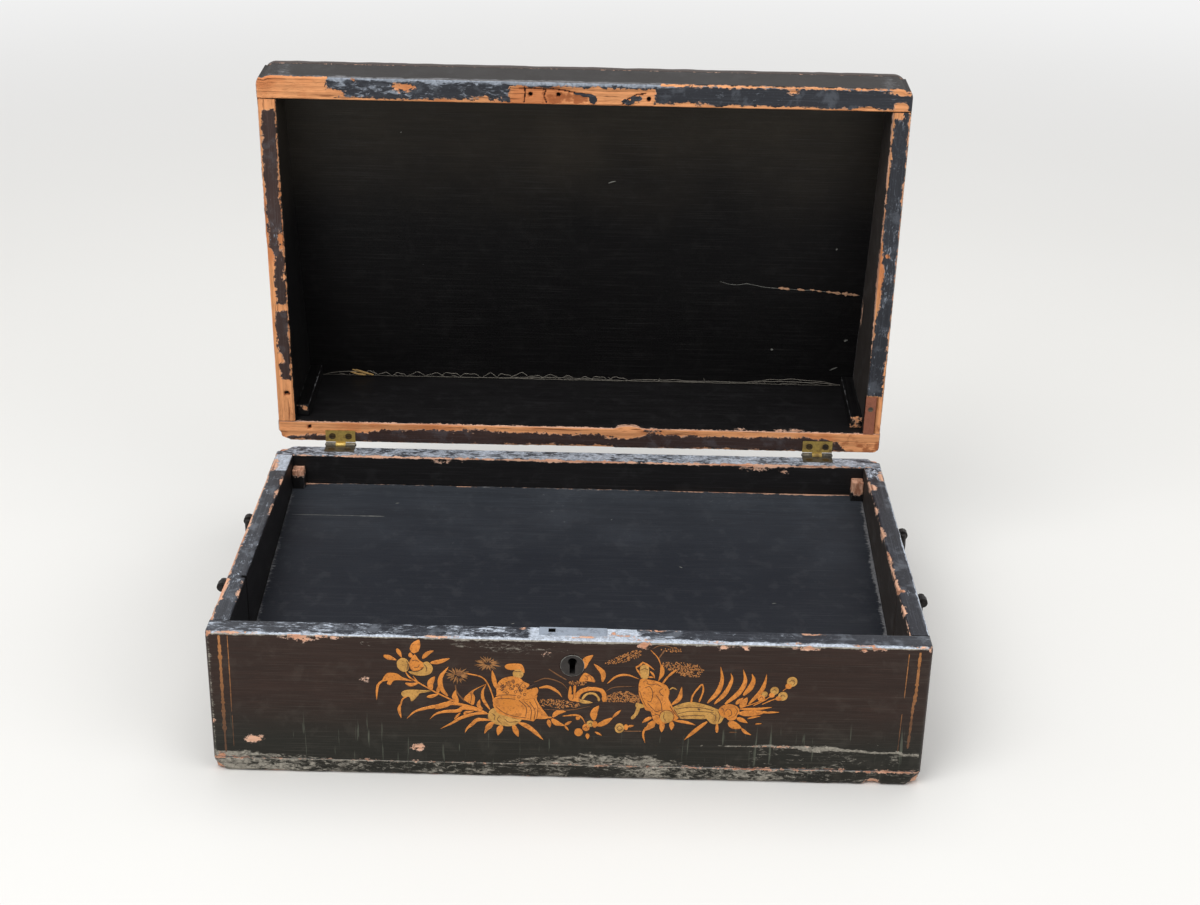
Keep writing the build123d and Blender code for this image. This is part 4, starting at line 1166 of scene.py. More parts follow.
def make_lid_front():
    """Lid's front wall: strike mortise, bare corner and slate lacquer with a ragged inner edge."""
    step, arris = grid_and_arris()
    mortise = (-44.0, 41.5)
    near = (0.25, 0.6, 1.0, 1.6, 2.4, 3.6, 5.0, 6.6)
    xs = lines(-HALF_X, HALF_X, step, ((mortise[0], mortise[1], 0.5),), edge_zones(-HALF_X, HALF_X, near))
    ys = lines(-HALF_Y, -INNER_Y, 0.55, (), edge_zones(-HALF_Y, -INNER_Y))
    zs = lid_heights()
    board = Board(xs, ys, zs)
    board.round_off((8.0, 8.0, 0.2, 0.2), (arris, arris, 1.2 * arris, 0.8 * arris), 0.05, 1.0)
    x, y, z = board.flat.T
    noise, fine = board_noise(board, 6.0, 2.2, 51)
    v = HALF_Y - y
    inner, outer = -y - INNER_Y, y + HALF_Y
    on_rim = z < 1.0
    width = band(
        x,
        (
            (-181, 2.5), (-150, 2.0), (-120, 1.6), (-80, 2.4), (-48, 2.0), (42, 2.2), (70, 1.6), (110, 2.4),
            (150, 1.4), (192, 2.0)
        )
    )
    strip = width + 0.9 * noise + 0.6 * fine - np.hypot(inner, 0.7 * z)
    ends = [
        oblong(x, v, -999, -151, 0, 999), oblong(x, v, mortise[0], mortise[1], 224, 236.8),
        spot(x, v, -135, 238, 3.0, 1.3), spot(x, v, -104.5, 235, 6.0, 2.2), spot(x, v, 123, 237, 3.6, 1.2),
        spot(x, v, 187, 229, 4.0, 3.4), spot(x, v, -150, 230, 8.0, 3.0), spot(x, v, 60, 227.4, 10, 2.0),
        spot(x, v, 165, 227, 12, 1.6), spot(x, v, -60, 227.5, 11, 2.2), spot(x, v, 187, 238.5, 6.0, 1.6),
    ]
    patches = np.max(ends, axis=0) + 1.5 * noise + 1.0 * fine
    board.bare = np.where(on_rim, np.maximum(strip, patches), np.where(inner < 0.5, strip, -9.0))
    edge_gap = np.hypot(outer, z)
    board.bare = np.maximum(board.bare, np.where(x < -150, 1.0 + fine - edge_gap, -9.0))
    # Painted highlight, with wear: a pale band along the outer arris.
    lit_worn_edge = band(x, ((-192, 1.6), (-150, 3.6), (-120, 2.6), (-60, 3.6), (40, 3.6), (60, 1.4), (192, 1.4)))
    light = np.clip(1.25 - edge_gap / lit_worn_edge + 0.5 * noise + 0.3 * fine, 0, 1)
    cloudy = band(x, ((-192, 0.4), (-120, 0.36), (-50, 0.3), (50, 0.16), (100, 0.22), (192, 0.14)))
    board.rubbed = np.maximum(light, np.where(on_rim, cloudy + 0.35 * noise, 0.0))
    board.bare = np.maximum(board.bare, np.where(x > 44, 0.9 + 0.9 * fine - edge_gap, -9.0))
    outer_scuff = np.where(
        outer < 0.6, np.clip(0.55 - np.abs(x + 178) / 26, 0, 1) + np.clip(0.5 - np.abs(x - 180) / 26, 0, 1),
        0.0
    )
    board.rubbed = np.maximum(board.rubbed, outer_scuff * (np.abs(x) < 185.5))
    sunk = (x > mortise[0]) & (x < mortise[1]) & (v < 236.0) & on_rim
    board.points[sunk, 2] += 0.7
    torn = oblong(x, v, -25.0, 4.0, 226.0, 234.6) + 1.6 * noise + 0.8 * fine
    board.points[:, 2] += np.clip(torn / 3.0, 0, 1) * 0.7 * on_rim
    board.stain = np.clip(np.clip(torn / 2.0, 0, 1) * (0.5 + 0.5 * noise) + 0.15 + 0.3 * fine, 0, 0.9) * sunk
    left_over = (
        (5.2, 229.6, 2.6, 3.0), (3.4, 232.0, 4.4, 1.3), (-3.0, 232.8, 5.0, 0.7), (26.0, 228.6, 5.0, 1.6),
        (30.5, 230.8, 4.2, 1.9),
    )
    slate = spots(x, v, left_over) + 0.8 * fine + 0.4 * noise
    board.bare = np.where(on_rim & (slate > 0), np.minimum(board.bare, -2.5 * slate), board.bare)
    split = near_line(x, v, SPLITS)
    board.points[:, 2] += np.clip(1.0 - split / 0.7, 0, 1) * 0.8 * on_rim
    # Painted shade: a stain of 1.7 makes the splits near-black.
    board.stain = np.where(on_rim & (split < 0.36), 1.7, board.stain)
    for hole, middle in ((-31.5, 231.9), (-15.2, 231.9), (38.0, 230.5)):
        reach = np.hypot(x - hole, v - middle)
        board.points[:, 2] += 3.0 * np.sqrt(np.clip(1.0 - reach / 1.5, 0, 1)) * on_rim
        # Painted shade: a stain of 1.7 makes the nail holes near-black.
        board.stain = np.where(on_rim & (reach < 1.3), 1.7, board.stain)
    sloped(board)
    # The outer face takes the darker lid_front finish: painted shade.
    put_board(
        board, "lid_front_board", "lid_front",
        ("outside", "outside", "lid_front", "lid_inside", "rim", "lid_inside"), 0, "lid",
    )


def make_lid_back():
    """Lid's back wall: bare strip along the inner edge, brown lacquer outside it, hinge beds."""
    step, arris = grid_and_arris()
    xs = lines(-HALF_X, HALF_X, step, (), [*edge_zones(-HALF_X, HALF_X), *hinge_marks()])
    ys = lines(INNER_Y, HALF_Y, 0.95, (), [*edge_zones(INNER_Y, HALF_Y), *bed_marks()])
    zs = lid_heights(4.0)
    board = Board(xs, ys, zs)
    board.round_off((0.2, 0.2, 4.0, 4.0), (arris, arris, arris, arris), 0.05, 1.0)
    x, y, z = board.flat.T
    noise, fine = board_noise(board, 6.0, 2.2, 61)
    inner, outer = y - INNER_Y, HALF_Y - y
    on_rim = z < 1.0
    width = band(
        x,
        (
            (-192, 11.0), (-178, 10.0), (-140, 6.5), (-125, 4.6), (-40, 4.4), (10, 4.8), (25, 7.0),
            (38, 6.5), (44, 3.4), (100, 4.2), (150, 3.6), (166, 7.0), (172, 14.0), (192, 15.0)
        )
    )
    strip = width + 1.2 * noise + 0.9 * fine - inner
    gap = spots(x, inner, ((-66, 4.4, 9.0, 1.6), (46, 1.4, 5.0, 1.2)))
    strip = np.minimum(strip, -gap + 0.4 * fine)
    board.stain = np.clip(
        np.clip((x - 160) / 10, 0, 1) * (0.35 + 0.5 * noise) + 0.1 * (x > -140) + 0.25 * noise, 0, 1
    )
    edge_gap = np.hypot(outer, z)
    edge = band(
        x,
        (
            (-192, 1.8), (-120, 0.2), (-60, 0.3), (-24, 1.5), (22.6, 1.8), (23.6, 0.0), (60, 0.6),
            (84, 1.4), (120, 0.7), (192, 1.6)
        )
    ) + 1.1 * fine + 0.5 * noise - edge_gap
    inside = np.maximum.reduce([
        1.0 + fine - z, spot(x, z, 128, 2.8, 3.4, 0.9) + 0.4 * fine,
        spot(x, z, 139, 3.2, 3.6, 1.5) + 0.4 * fine,
        spot(x, z, 104, 3.4, 2.0, 0.8) + 0.4 * fine, spot(x, z, 31.5, 0.0, 8.5, 6.0) + 0.4 * fine,
    ])
    board.bare = np.where(on_rim, np.maximum(strip, edge), np.where(inner < 0.6, inside, edge))
    nail = np.hypot(x + 172.6, inner - 4.0)
    board.points[:, 2] += 2.4 * np.sqrt(np.clip(1.0 - nail / 1.7, 0, 1)) * on_rim
    # Painted shade: a stain of 1.7 makes the nail hole near-black.
    board.stain = np.where(on_rim & (nail < 1.3), 1.7, board.stain)
    # Painted highlight, with wear, along the outer arris.
    board.rubbed = np.clip(0.8 - edge_gap / 2.0 + 0.3 * noise, 0, 1)
    board.chip(-HALF_X, HALF_Y, 0.0, 7.0, 1.8)
    lump = np.clip(1.0 - np.hypot((x - 31.5) / 7.5, (inner - 4.5) / 4.4) + 0.15 * fine, 0, 1) * on_rim
    board.points[:, 2] -= 0.5 * np.sqrt(lump)
    lip = np.clip(1.1 - np.hypot((x - 31.5) / 7.5, z / 5.0) + 0.2 * fine, 0, 1) * (inner < 0.5)
    board.points[:, 1] -= 2.0 * np.sqrt(lip)
    let_in_hinges(board, -1)
    sloped(board)
    put_board(
        board, "lid_back_board", "lid_back",
        ("outside", "outside", "case_inside", "outside", "rim_brown", "lid_inside"), 0, "lid",
    )


def make_lid_side(side):
    """Lid's tapered side walls with their worn rims."""
    step, arris = grid_and_arris()
    left = side < 0
    low, high = sorted((side * INNER_X, side * HALF_X))
    xs = lines(low, high, 0.95, (), edge_zones(low, high))
    patch, patch_wide, patch_high = (HALF_Y - 13.5, HALF_Y - 40.0), 6.6, 5.1
    marks = [] if left else [p + d for p in patch for d in (-0.1, 0.1)]
    ys = lines(-INNER_Y, INNER_Y, step, (), [*edge_zones(-INNER_Y, INNER_Y), *marks])
    zs = lid_heights()
    board = Board(xs, ys, zs)
    board.round_off((0.15, 0.15, 0.15, 0.15), (arris, arris, 0.25, 0.25), 0.05, 1.0)
    x, y, z = board.flat.T
    v = HALF_Y - y
    noise, fine = board_noise(board, 6.0, 2.2, 71 + left, 2)
    inner, outer = np.abs(x) - INNER_X, HALF_X - np.abs(x)
    on_rim = z < 1.0
    edge_gap = np.hypot(outer, z)
    if left:
        table = (
            (0, 4.0), (45, 3.6), (58, 3.0), (92, 3.2), (100, 4.0), (128, 4.2), (134, 1.7), (180, 1.4),
            (226, 1.9)
        )
        edge = band(v, table) + 1.0 * noise + 0.9 * fine - edge_gap
        zones = [
            oblong(v, inner, 219.5, 999, -99, 99), oblong(v, inner, 91.0, 95.0, -99, 99),
            oblong(v, inner, -99, 43.5, -99, 99), spot(v, inner, 55.5, 8.0, 6.0, 3.0),
            spot(v, inner, 47.0, 9.5, 7.0, 3.0), spot(v, inner, 138.0, 1.5, 5.0, 1.2),
            spot(v, inner, 114.0, 1.0, 3.6, 1.6),
        ]
        lacquered = spot(v, inner, 50.0, 3.6, 6.5, 4.6)
        patches = np.max(zones, axis=0) + 1.3 * noise + 0.6 * fine
        patches = np.where(v > 43.5, np.minimum(patches, -lacquered + 0.3 * fine), patches)
        strip = 0.5 + 1.0 * fine + 0.4 * noise - np.hypot(inner, 0.8 * z)
        pit = np.clip(1.0 - np.hypot(v - 33.6, inner - 4.2) / 1.9, 0, 1) * on_rim
        board.points[:, 2] += 2.6 * np.sqrt(pit)
        # Painted shade: a stain of 1.7 makes the pit near-black.
        board.stain = np.where(pit > 0.2, 1.7, np.clip(0.45 - np.abs(v - 20) / 50, 0, 1) + 0.2 * noise)
    else:
        table = ((0, 3.0), (20, 2.0), (50, 1.5), (80, 0.9), (100, 0.5), (140, 0.4), (226, 0.7))
        edge = band(v, table) + 0.8 * noise + 0.9 * fine - edge_gap
        board.stain = np.clip(0.3 - (v - 20) / 60, 0, 0.6) + 0.35 * noise
        zones = [
            oblong(v, inner, -99, 41.0, -99, 99), spot(v, inner, 135.4, 4.6, 1.6, 1.5),
            oblong(v, inner, 222.5, 999, -99, 6.0),
        ]
        patches = np.max(zones, axis=0) + 1.0 * noise + 0.5 * fine
        width = band(
            v,
            (
                (0, 3), (45, -1.0), (60, -0.6), (72, 0.6), (90, 0.8), (98, 2.2), (118, 3.2), (138, 2.4),
                (146, 0.7), (200, 1.0), (226, 1.8)
            )
        )
        strip = width + 0.9 * noise + 0.9 * fine - np.hypot(inner, 0.7 * z)
    board.bare = np.maximum(edge, np.where(on_rim, patches, -9.0))
    board.bare = np.maximum(board.bare, np.where(on_rim | (inner < 0.5), strip, -9.0))
    # Painted highlight, with wear, along the outer arris.
    light = np.clip(0.9 - edge_gap / 1.7 + 0.35 * noise, 0, 1)
    board.rubbed = np.maximum(light, np.where(on_rim, (0.1 if left else 0.3) + 0.28 * noise, 0.0))
    if not left:
        joint = np.clip(0.75 - (LID_WALL - z) / 3.0 + 0.5 * noise, 0, 0.6) * (inner < 0.5)
        board.rubbed = np.maximum(board.rubbed, joint)
        torn = spot(v, z, 74.0, 56.0, 9.0, 1.6) + 0.7 * fine
        board.bare = np.maximum(board.bare, np.where(inner < 0.5, torn, -9.0))
        bed = (y > patch[1]) & (y < patch[0]) & (inner < patch_wide) & (z < patch_high)
        board.points[bed, 2] += np.where(on_rim[bed], patch_high, 0.0)
    sloped(board, 12.0)
    name = "left" if left else "right"
    # The right board's inner face takes the paler lining: painted light, with dust.
    slots = ["outside", "lid_inside"] if left else ["dusty_inside", "outside"]
    put_board(
        board, f"lid_{name}_board", f"lid_{name}",
        (*slots, "lid_inside", "lid_inside", "rim_brown" if left else "rim", "lid_inside"), 1, "lid",
    )


def make_lid_top():
    """Sloping top board with rounded upper edges and a dull lining."""
    near = (0.4, 0.9, 1.5, 2.3, 3.2, 4.4, 5.8, 7.0)
    xs = lines(
        -HALF_X, HALF_X, 4.0, ((-HALF_X, -HALF_X + 12, 1.2), (HALF_X - 12, HALF_X, 1.2)),
        edge_zones(-HALF_X, HALF_X, near)
    )
    ys = lines(
        -HALF_Y, HALF_Y, 4.0, ((-HALF_Y, -HALF_Y + 12, 1.2), (HALF_Y - 12, HALF_Y, 1.5)),
        edge_zones(-HALF_Y, HALF_Y, near)
    )
    zs = lines(0.0, LID_BOARD, 0.9)
    board = Board(xs, ys, zs)
    board.round_off((8.0, 8.0, 4.0, 4.0), (3.2, 3.2, 3.2, 3.2), 1.0, 0.05)
    x, y, z = board.flat.T
    noise, fine = board_noise(board, 8.0, 2.4, 81)
    outer = np.minimum(HALF_X - np.abs(x), HALF_Y - np.abs(y))
    edge_gap = np.hypot(outer, LID_BOARD - z)
    board.bare = 1.5 * noise + 0.9 * fine - edge_gap
    joint = 0.1 + 0.8 * fine + 0.8 * noise - np.hypot(outer, z) * 1.4
    board.bare = np.maximum(board.bare, joint)
    # Painted highlight, with wear, along the rounded upper edges.
    board.rubbed = np.clip(0.75 - edge_gap / 4.5 + 0.35 * noise, 0, 1)
    board.rubbed = np.maximum(board.rubbed, old_scuffs(board, 83) * (z > LID_BOARD / 2))
    board.points[:, 2] += ceiling(y)
    put_board(
        board, "lid_top_board", "lid_top",
        ("outside", "outside", "outside", "outside", "lid_inside", "outside"), 0, "lid",
    )


def make_block(side, lid):
    """Glue block in a rear corner: lacquered with the lining, its free end bare."""
    low, high = sorted((side * INNER_X, side * (INNER_X - BLOCK)))
    tall = LID_WALL if lid else CASE_HEIGHT - 7.0 - BOTTOM
    xs = lines(low, high, 1.0, (), (low + 0.4, high - 0.4))
    ys = lines(INNER_Y - BLOCK, INNER_Y, 1.0, (), (INNER_Y - BLOCK + 0.4, INNER_Y - 0.4))
    zs = lines(0.0, tall, 2.2, ((0.0, 6.0, 0.8), (tall - 6.0, tall, 0.8)))
    board = Board(xs, ys, zs)
    board.round_off((0.9,) * 4, (0.9,) * 4, 0.1 if lid else 1.0, 1.0 if lid else 0.1)
    x, y, z = board.flat.T
    noise, fine = board_noise(board, 4.0, 1.8, 91 + side, 4)
    free = z if lid else tall - z
    reach = (-0.2 if side > 0 else -0.7) if lid else (6.2 if side > 0 else 3.0)
    board.bare = reach + 1.8 * noise + fine - 0.8 * free
    board.stain = np.full(len(x), 0.25 if lid else 0.5) + 0.3 * noise
    corner = np.hypot(np.minimum(x - low, high - x), y - INNER_Y + BLOCK)
    # Painted highlight along the block's corners.
    board.rubbed = np.clip(0.6 - corner / 1.8 + 0.4 * noise, 0, 1)
    if lid:
        base = LID_RIM + LID_BLOCK_FOOT
        board.points[:, 2] = base + board.points[:, 2] * (ceiling(y) - base) / tall
    else:
        board.points[:, 2] += BOTTOM
    name = f"{'lid' if lid else 'case'}_block_{'left' if side < 0 else 'right'}"
    finish = "lid_inside" if lid else "case_inside"
    put_board(board, f"{name}_worn", name, (finish,) * 6, 2, "lid" if lid else "case")


# Gilding


def smooth_path(points, spacing, closed=False):
    """Points at even steps along a smooth curve through the given ones."""
    given = np.array(points, dtype=float)
    if closed:
        padded = np.vstack([given[-1], given, given[0], given[1]])
    else:
        padded = np.vstack([2 * given[0] - given[1], given, 2 * given[-1] - given[-2]])
    curve = []
    for i in range(1, len(padded) - 2):
        a, b, c, d = padded[i - 1 : i + 3]
        steps = max(2, int(math.ceil(np.linalg.norm(c - b) / spacing)))
        for t in np.arange(steps) / steps:
            curve.append(
                0.5 * (
                    2 * b + (c - a) * t + (2 * a - 5 * b + 4 * c - d) * t**2
                    + (3 * b - a - 3 * c + d) * t**3
                )
            )
    if not closed:
        curve.append(given[-1])
    return np.array(curve)


def in_tenths(points):
    """Points on the tenths of a millimetre, like those of the drawn outlines."""
    return tuple((round(u, 1), round(v, 1)) for u, v in points)


def oval(u, v, wide, high, lean=0.0, count=10):
    """An even ring of points, clockwise from the right, whose right side may stand a little higher."""
    ring = []
    for step in range(count):
        across, up = math.cos(math.tau * step / count), -math.sin(math.tau * step / count)
        ring.append((u + wide * across, v + high * up + lean * across))
    return in_tenths(ring)


def diamond(u, v, lean=0.0):
    """A small closed ring of four points, from the left; its top and right may stand a little higher."""
    reach = 0.8
    ring = (u - reach, v), (u, v + reach + lean), (u + reach, v + lean), (u, v - reach), (u - reach, v)
    return in_tenths(ring)


class Relief:
    """Thin raised shapes, drawn as (u, v) in millimetres and gathered into one mesh."""

    def __init__(self, height):
        self.height = height
        self.points = []
        self.faces = []

    def blade(self, path, width, even=False, lift=0.0, ragged=0.0, seed=1):
        """A stroke that swells and tapers, or keeps its width, with a ridge along its middle."""
        line = smooth_path(path, 0.6)
        along = np.linspace(0, 1, len(line))
        if even:
            swell = np.clip(np.minimum(along, 1 - along) * 12 + 0.5, 0, 1)
        else:
            swell = np.sin(math.pi * np.clip(along * 0.94 + 0.05, 0, 1) ** 0.85) ** 0.8
        if ragged:
            jag = soft_noise(np.column_stack([line, np.zeros(len(line))]), 1.1, seed)
            swell = swell * np.clip(1.0 + ragged * jag, 0.05, 3.0)
        half = np.maximum(width * swell / 2, 0.03)
        way = np.gradient(line, axis=0)
        way /= np.maximum(np.linalg.norm(way, axis=1), 1e-9)[:, None]
        side = np.column_stack([-way[:, 1], way[:, 0]])
        first = len(self.points)
        profile = (
            (1.0, -0.06), (0.75, 0.65 * self.height), (0.0, self.height), (-0.75, 0.65 * self.height),
            (-1.0, -0.06)
        )
        for centre, across, reach in zip(line, side, half):
            for share, up in profile:
                u, v = centre + across * reach * share
                self.points.append((u, v, up + lift))
        for i in range(len(line) - 1):
            for j in range(5):
                a, b = first + 5 * i + j, first + 5 * i + (j + 1) % 5
                self.faces.append((a, b, b + 5, a + 5))
        last = first + 5 * (len(line) - 1)
        self.faces.append(tuple(first + j for j in (4, 3, 2, 1, 0)))
        self.faces.append(tuple(last + j for j in range(5)))

    def pad(self, outline, lift=0.0, inset=0.22, spacing=0.6):
        """A flat leaf of metal with a soft edge, inside a smooth closed outline."""
        ring = smooth_path(outline, spacing, closed=True)
        around = np.roll(ring, -1, axis=0) - np.roll(ring, 1, axis=0)
        area = (ring[:, 0] * np.roll(ring[:, 1], -1) - np.roll(ring[:, 0], -1) * ring[:, 1]).sum()
        if area < 0:
            ring, around = ring[::-1], -around[::-1]
        around /= np.maximum(np.linalg.norm(around, axis=1), 1e-9)[:, None]
        inward = np.column_stack([-around[:, 1], around[:, 0]])
        first, count = len(self.points), len(ring)
        for shift, up in ((0.0, -0.06), (0.03, 0.6 * self.height), (inset, self.height)):
            for (u, v), (du, dv) in zip(ring, inward):
                self.points.append((u + du * shift, v + dv * shift, up + lift))
        for i in range(count):
            j = (i + 1) % count
            for level in (0, count):
                a, b = first + level + i, first + level + j
                self.faces.append((a, b, b + count, a + count))
        self.faces.append(tuple(first + 2 * count + i for i in range(count)))
        self.faces.append(tuple(first + i for i in reversed(range(count))))

    def piece(self, name, place, finish, body, slot="lacquer"):
        """The shapes as one object, put where place(u, v, up) says."""
        mesh = bpy.data.meshes.new(name)
        spots = place(*np.array(self.points).T) * MM
        mesh.from_pydata(spots.tolist(), [], self.faces)
        mesh.update()
        mesh.materials.append(finish_called(finish))
        form = bmesh.new()
        form.from_mesh(mesh)
        bmesh.ops.triangulate(form, faces=[face for face in form.faces if len(face.verts) > 4])
        form.to_mesh(mesh)
        form.free()
        item = add_object(name, mesh)
        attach(item, body)


def on_front(u, v, up):
    """Places on the front face: u along it, v upwards."""
    return np.column_stack([u, -HALF_Y - up, v])


def on_lining(u, v, up):
    """Places on the lid's lining: u along it, v from its hinged edge."""
    y = HALF_Y - v
    return opened(np.column_stack([u, y, ceiling(y) - up]))


GILT_BLADES = (
    (2.71, ((-98, 74.9), (-95.1, 73.8), (-91.1, 72.4))),
    (2.26, ((-90.9, 79.4), (-89.8, 77.1), (-88.4, 73.9))),
    (5.42, ((-82.3, 77), (-81, 80.9), (-79, 85))),
    (2.71, ((-83.6, 74.1), (-83.8, 77.2))),
    (2.49, ((-77.4, 73.7), (-74.8, 76.7), (-71.3, 78.6))),
    (2.8, ((-73.2, 71.1), (-68.6, 71.9), (-62.9, 74.1))),
    (1.45, ((-98.2, 60), (-101.3, 56.9), (-102.2, 52.2), (-102.4, 47.4))),
    (2.08, ((-86.9, 58.2), (-83.6, 57.3), (-79.4, 58.8))),
    (1.9, ((-90, 44.8), (-90.5, 41.2), (-89.5, 36.4))),
    (2.17, ((-75.5, 50), (-72.6, 50.5), (-69, 52))),
    (3.39, ((-73, 54.4), (-73.5, 58.5), (-71, 62.9))),
    (2.03, ((-69.5, 52.5), (-69.3, 56.8))),
    (2.71, ((-64.4, 50.8), (-67.7, 55.6), (-67.9, 62.2), (-63.7, 68.9))),
    (3.16, ((-58.9, 47.1), (-60.6, 50.6), (-60, 54.7))),
    (1.9, ((-41.9, 43.1), (-45.2, 48.9), (-45.6, 54), (-43.6, 58.9))),
    (2.26, ((-45.8, 43), (-47.8, 45.3), (-47.2, 49.1))),
    (2.17, ((-52.5, 44.9), (-63.3, 46.2), (-69.5, 44.5), (-77, 42.6), (-82.3, 40.4), (-86.5, 36.1))),
    (
        2.35,
        (
            (-43.4, 40.8), (-50.5, 42.9), (-56.2, 43.6), (-58.9, 41.7), (-65.9, 41), (-70.8, 39.4),
            (-74.1, 36.2)
        )
    ),
    (1.9, ((-42.7, 40.3), (-49.2, 40.1), (-57.1, 37.4), (-62.4, 33.7), (-68.4, 30.2))),
    (1.36, ((-60.9, 36.5), (-57.5, 40.7))),
    (1.63, ((-54.9, 38.5), (-55.1, 40.5), (-50.5, 41.6))),
    (2.17, ((-41.2, 36.3), (-48.3, 36.3), (-51.4, 33.4), (-54, 30.8), (-55.3, 28))),
    (2.62, ((-39.2, 35.2), (-42.5, 32.6), (-44.8, 27.7))),
    (2.62, ((-40.2, 34.5), (-42.2, 32.1), (-44.7, 28.7))),
    (3.39, ((-35.4, 33), (-36.5, 30.7), (-37.6, 26.8))),
    (3.07, ((-29.4, 33.7), (-28.1, 30.4), (-26.5, 26.1))),
    (2.8, ((-26.5, 35.1), (-20.6, 32.1), (-13.1, 24.6))),
    (2.53, ((-38.5, 56.5), (-39.6, 61.9), (-40.5, 67.5))),
    (1.81, ((-15.5, 57.2), (-10.4, 57.8), (-5.5, 54.9), (-3.2, 51.7))),
    (3.98, ((8.4, 69.9), (9, 74.2), (13, 78.1))),
    (2.8, ((18.3, 61.9), (18.3, 67.3), (13.4, 72.8))),
    (2.89, ((-8, 39.1), (-5.5, 42), (-0.9, 42.9))),
    (2.98, ((-8.7, 38), (-6, 35.4), (-1.6, 33.8))),
    (2.35, ((-10.4, 37.4), (-9.5, 32.6))),
    (1.63, ((-1.6, 34.1), (2.2, 36.8))),
    (1.17, ((-1.6, 33.8), (0.6, 30.8))),
    (1.08, ((-2.7, 39.9), (4.6, 40.6), (7.7, 38.9), (9.7, 35.1))),
    (3.8, ((14.1, 37.7), (14.1, 42.6), (16.7, 46.9))),
    (2.26, ((10.8, 29.2), (10.9, 25.6))),
    (1.36, ((14.8, 30.3), (18.6, 28.1))),
    (3.16, ((16, 34.2), (19.5, 36.1), (24.2, 39.5))),
    (1.63, ((24.2, 39.8), (28.6, 44.6))),
    (2.35, ((49.4, 73.1), (49.8, 68), (48, 63.1))),
    (1.08, ((39, 74.6), (42.5, 72.4), (45.8, 69.7))),
    (1.17, ((43.4, 69), (45.2, 66.8), (46.1, 64.6))),
    (1.08, ((35.9, 70.7), (37.7, 67.7), (38.8, 65.2))),
    (0.99, ((42.5, 65.4), (45.6, 65.2))),
    (1.27, ((20.9, 60.9), (25.7, 65.3), (31.5, 66.3), (37.9, 64))),
    (2.44, ((55.7, 48.6), (59.5, 52.6), (60.6, 59.8))),
    (2.53, ((74.6, 50.1), (79.7, 56.9), (81.8, 64.6), (80.7, 72.7))),
    (2.26, ((45, 40.2), (43, 39.2), (40.1, 36.8))),
    (3.8, ((46.7, 38), (44.7, 35.1), (41.9, 32))),
    (1.27, ((41.9, 34), (40.8, 29.4), (42, 24))),
    (2.89, ((51.4, 37), (50.8, 34.5), (50.7, 31.1))),
    (2.62, ((55.8, 38), (56, 35.4), (55.9, 32.5))),
    (1.81, ((57.3, 38.6), (63.7, 37.6), (68.8, 36.1))),
    (2.35, ((75, 38.4), (69.9, 33.6), (63.1, 26.6))),
    (1.54, ((32.4, 34.1), (35.7, 34.9))),
    (2.44, ((78.3, 49.6), (83.9, 56.5), (87, 64.7), (86.2, 69.1))),
    (2.8, ((84.1, 49.7), (90.9, 56.6), (94.1, 63.9), (92.8, 71.3))),
    (2.98, ((93.6, 55.4), (97.1, 60.3), (98.5, 65), (97.5, 68.8))),
    (2.26, ((89.8, 49.8), (93.6, 53.9))),
    (3.62, ((92.5, 47.7), (95.8, 54.2))),
    (2.35, ((96.7, 50), (102.4, 57.4), (104.6, 63.1), (105.3, 68.8))),
    (1.63, ((92, 46.8), (101.1, 47), (109.3, 48.4))),
    (3.8, ((91.4, 44.1), (99.3, 44.3), (106.6, 45.5))),
    (1.17, ((104.6, 44.8), (113.3, 45.4))),
    (0.99, ((96.5, 40.9), (103.3, 42.7))),
    (2.53, ((90.7, 41), (93.2, 40), (96.7, 38.2))),
    (4.52, ((86.3, 38.3), (89.6, 36.4), (93.6, 34.8))),
    (1.81, ((93.6, 34.7), (95.8, 32.2), (99, 30.6))),
    (0.81, ((100.9, 37.6), (104.3, 38))),
)
GILT_STEMS = (
    (0.9, ((-86.7, 65.4), (-84.5, 61.9), (-80.1, 58.9), (-73.9, 54.9), (-69, 52), (-63.3, 49),
     (-58, 46.1), (-50.5, 44.2), (-46.1, 42.5))),
    (0.63, ((-82.7, 62.9), (-80.1, 58.9))),
    (0.99, ((-85, 50.8), (-88.5, 48.2), (-89.8, 43.8))),
    (0.81, ((-54.2, 65.1), (-46.5, 63.2), (-43, 59.2), (-40.3, 51.6), (-39.9, 47.5))),
    (2.8, ((5.3, 49), (5.1, 52.6), (7.3, 55.7), (11.7, 57.1), (17, 56.5), (19.2, 54), (19.4, 49.4))),
    (1.08, ((-11.7, 38.7), (-8.6, 38.8))),
    (0.63, ((43.4, 81.9), (47.4, 77), (49.4, 71.5))),
    (1.17, ((50.3, 61.6), (53.1, 66), (57.3, 70.2))),
    (1.08, ((35.7, 71.1), (37.7, 72.3), (39.2, 74.1))),
    (0.99, ((65.9, 49.1), (66.6, 54.5), (69.9, 60), (71.5, 61.3), (72, 57.2), (70.1, 50.5))),
    (1.63, ((80.3, 37.2), (80.5, 31.6))),
    (0.54, ((93.2, 48), (100.2, 50.7), (104.6, 53.1))),
    (0.54, ((103.8, 50), (109.1, 52.9), (111.7, 53.8))),
    (0.54, ((114.4, 58.7), (116.4, 60.5))),
    (0.54, ((99.3, 49.1), (104.6, 52.3), (108.2, 55.2))),
)
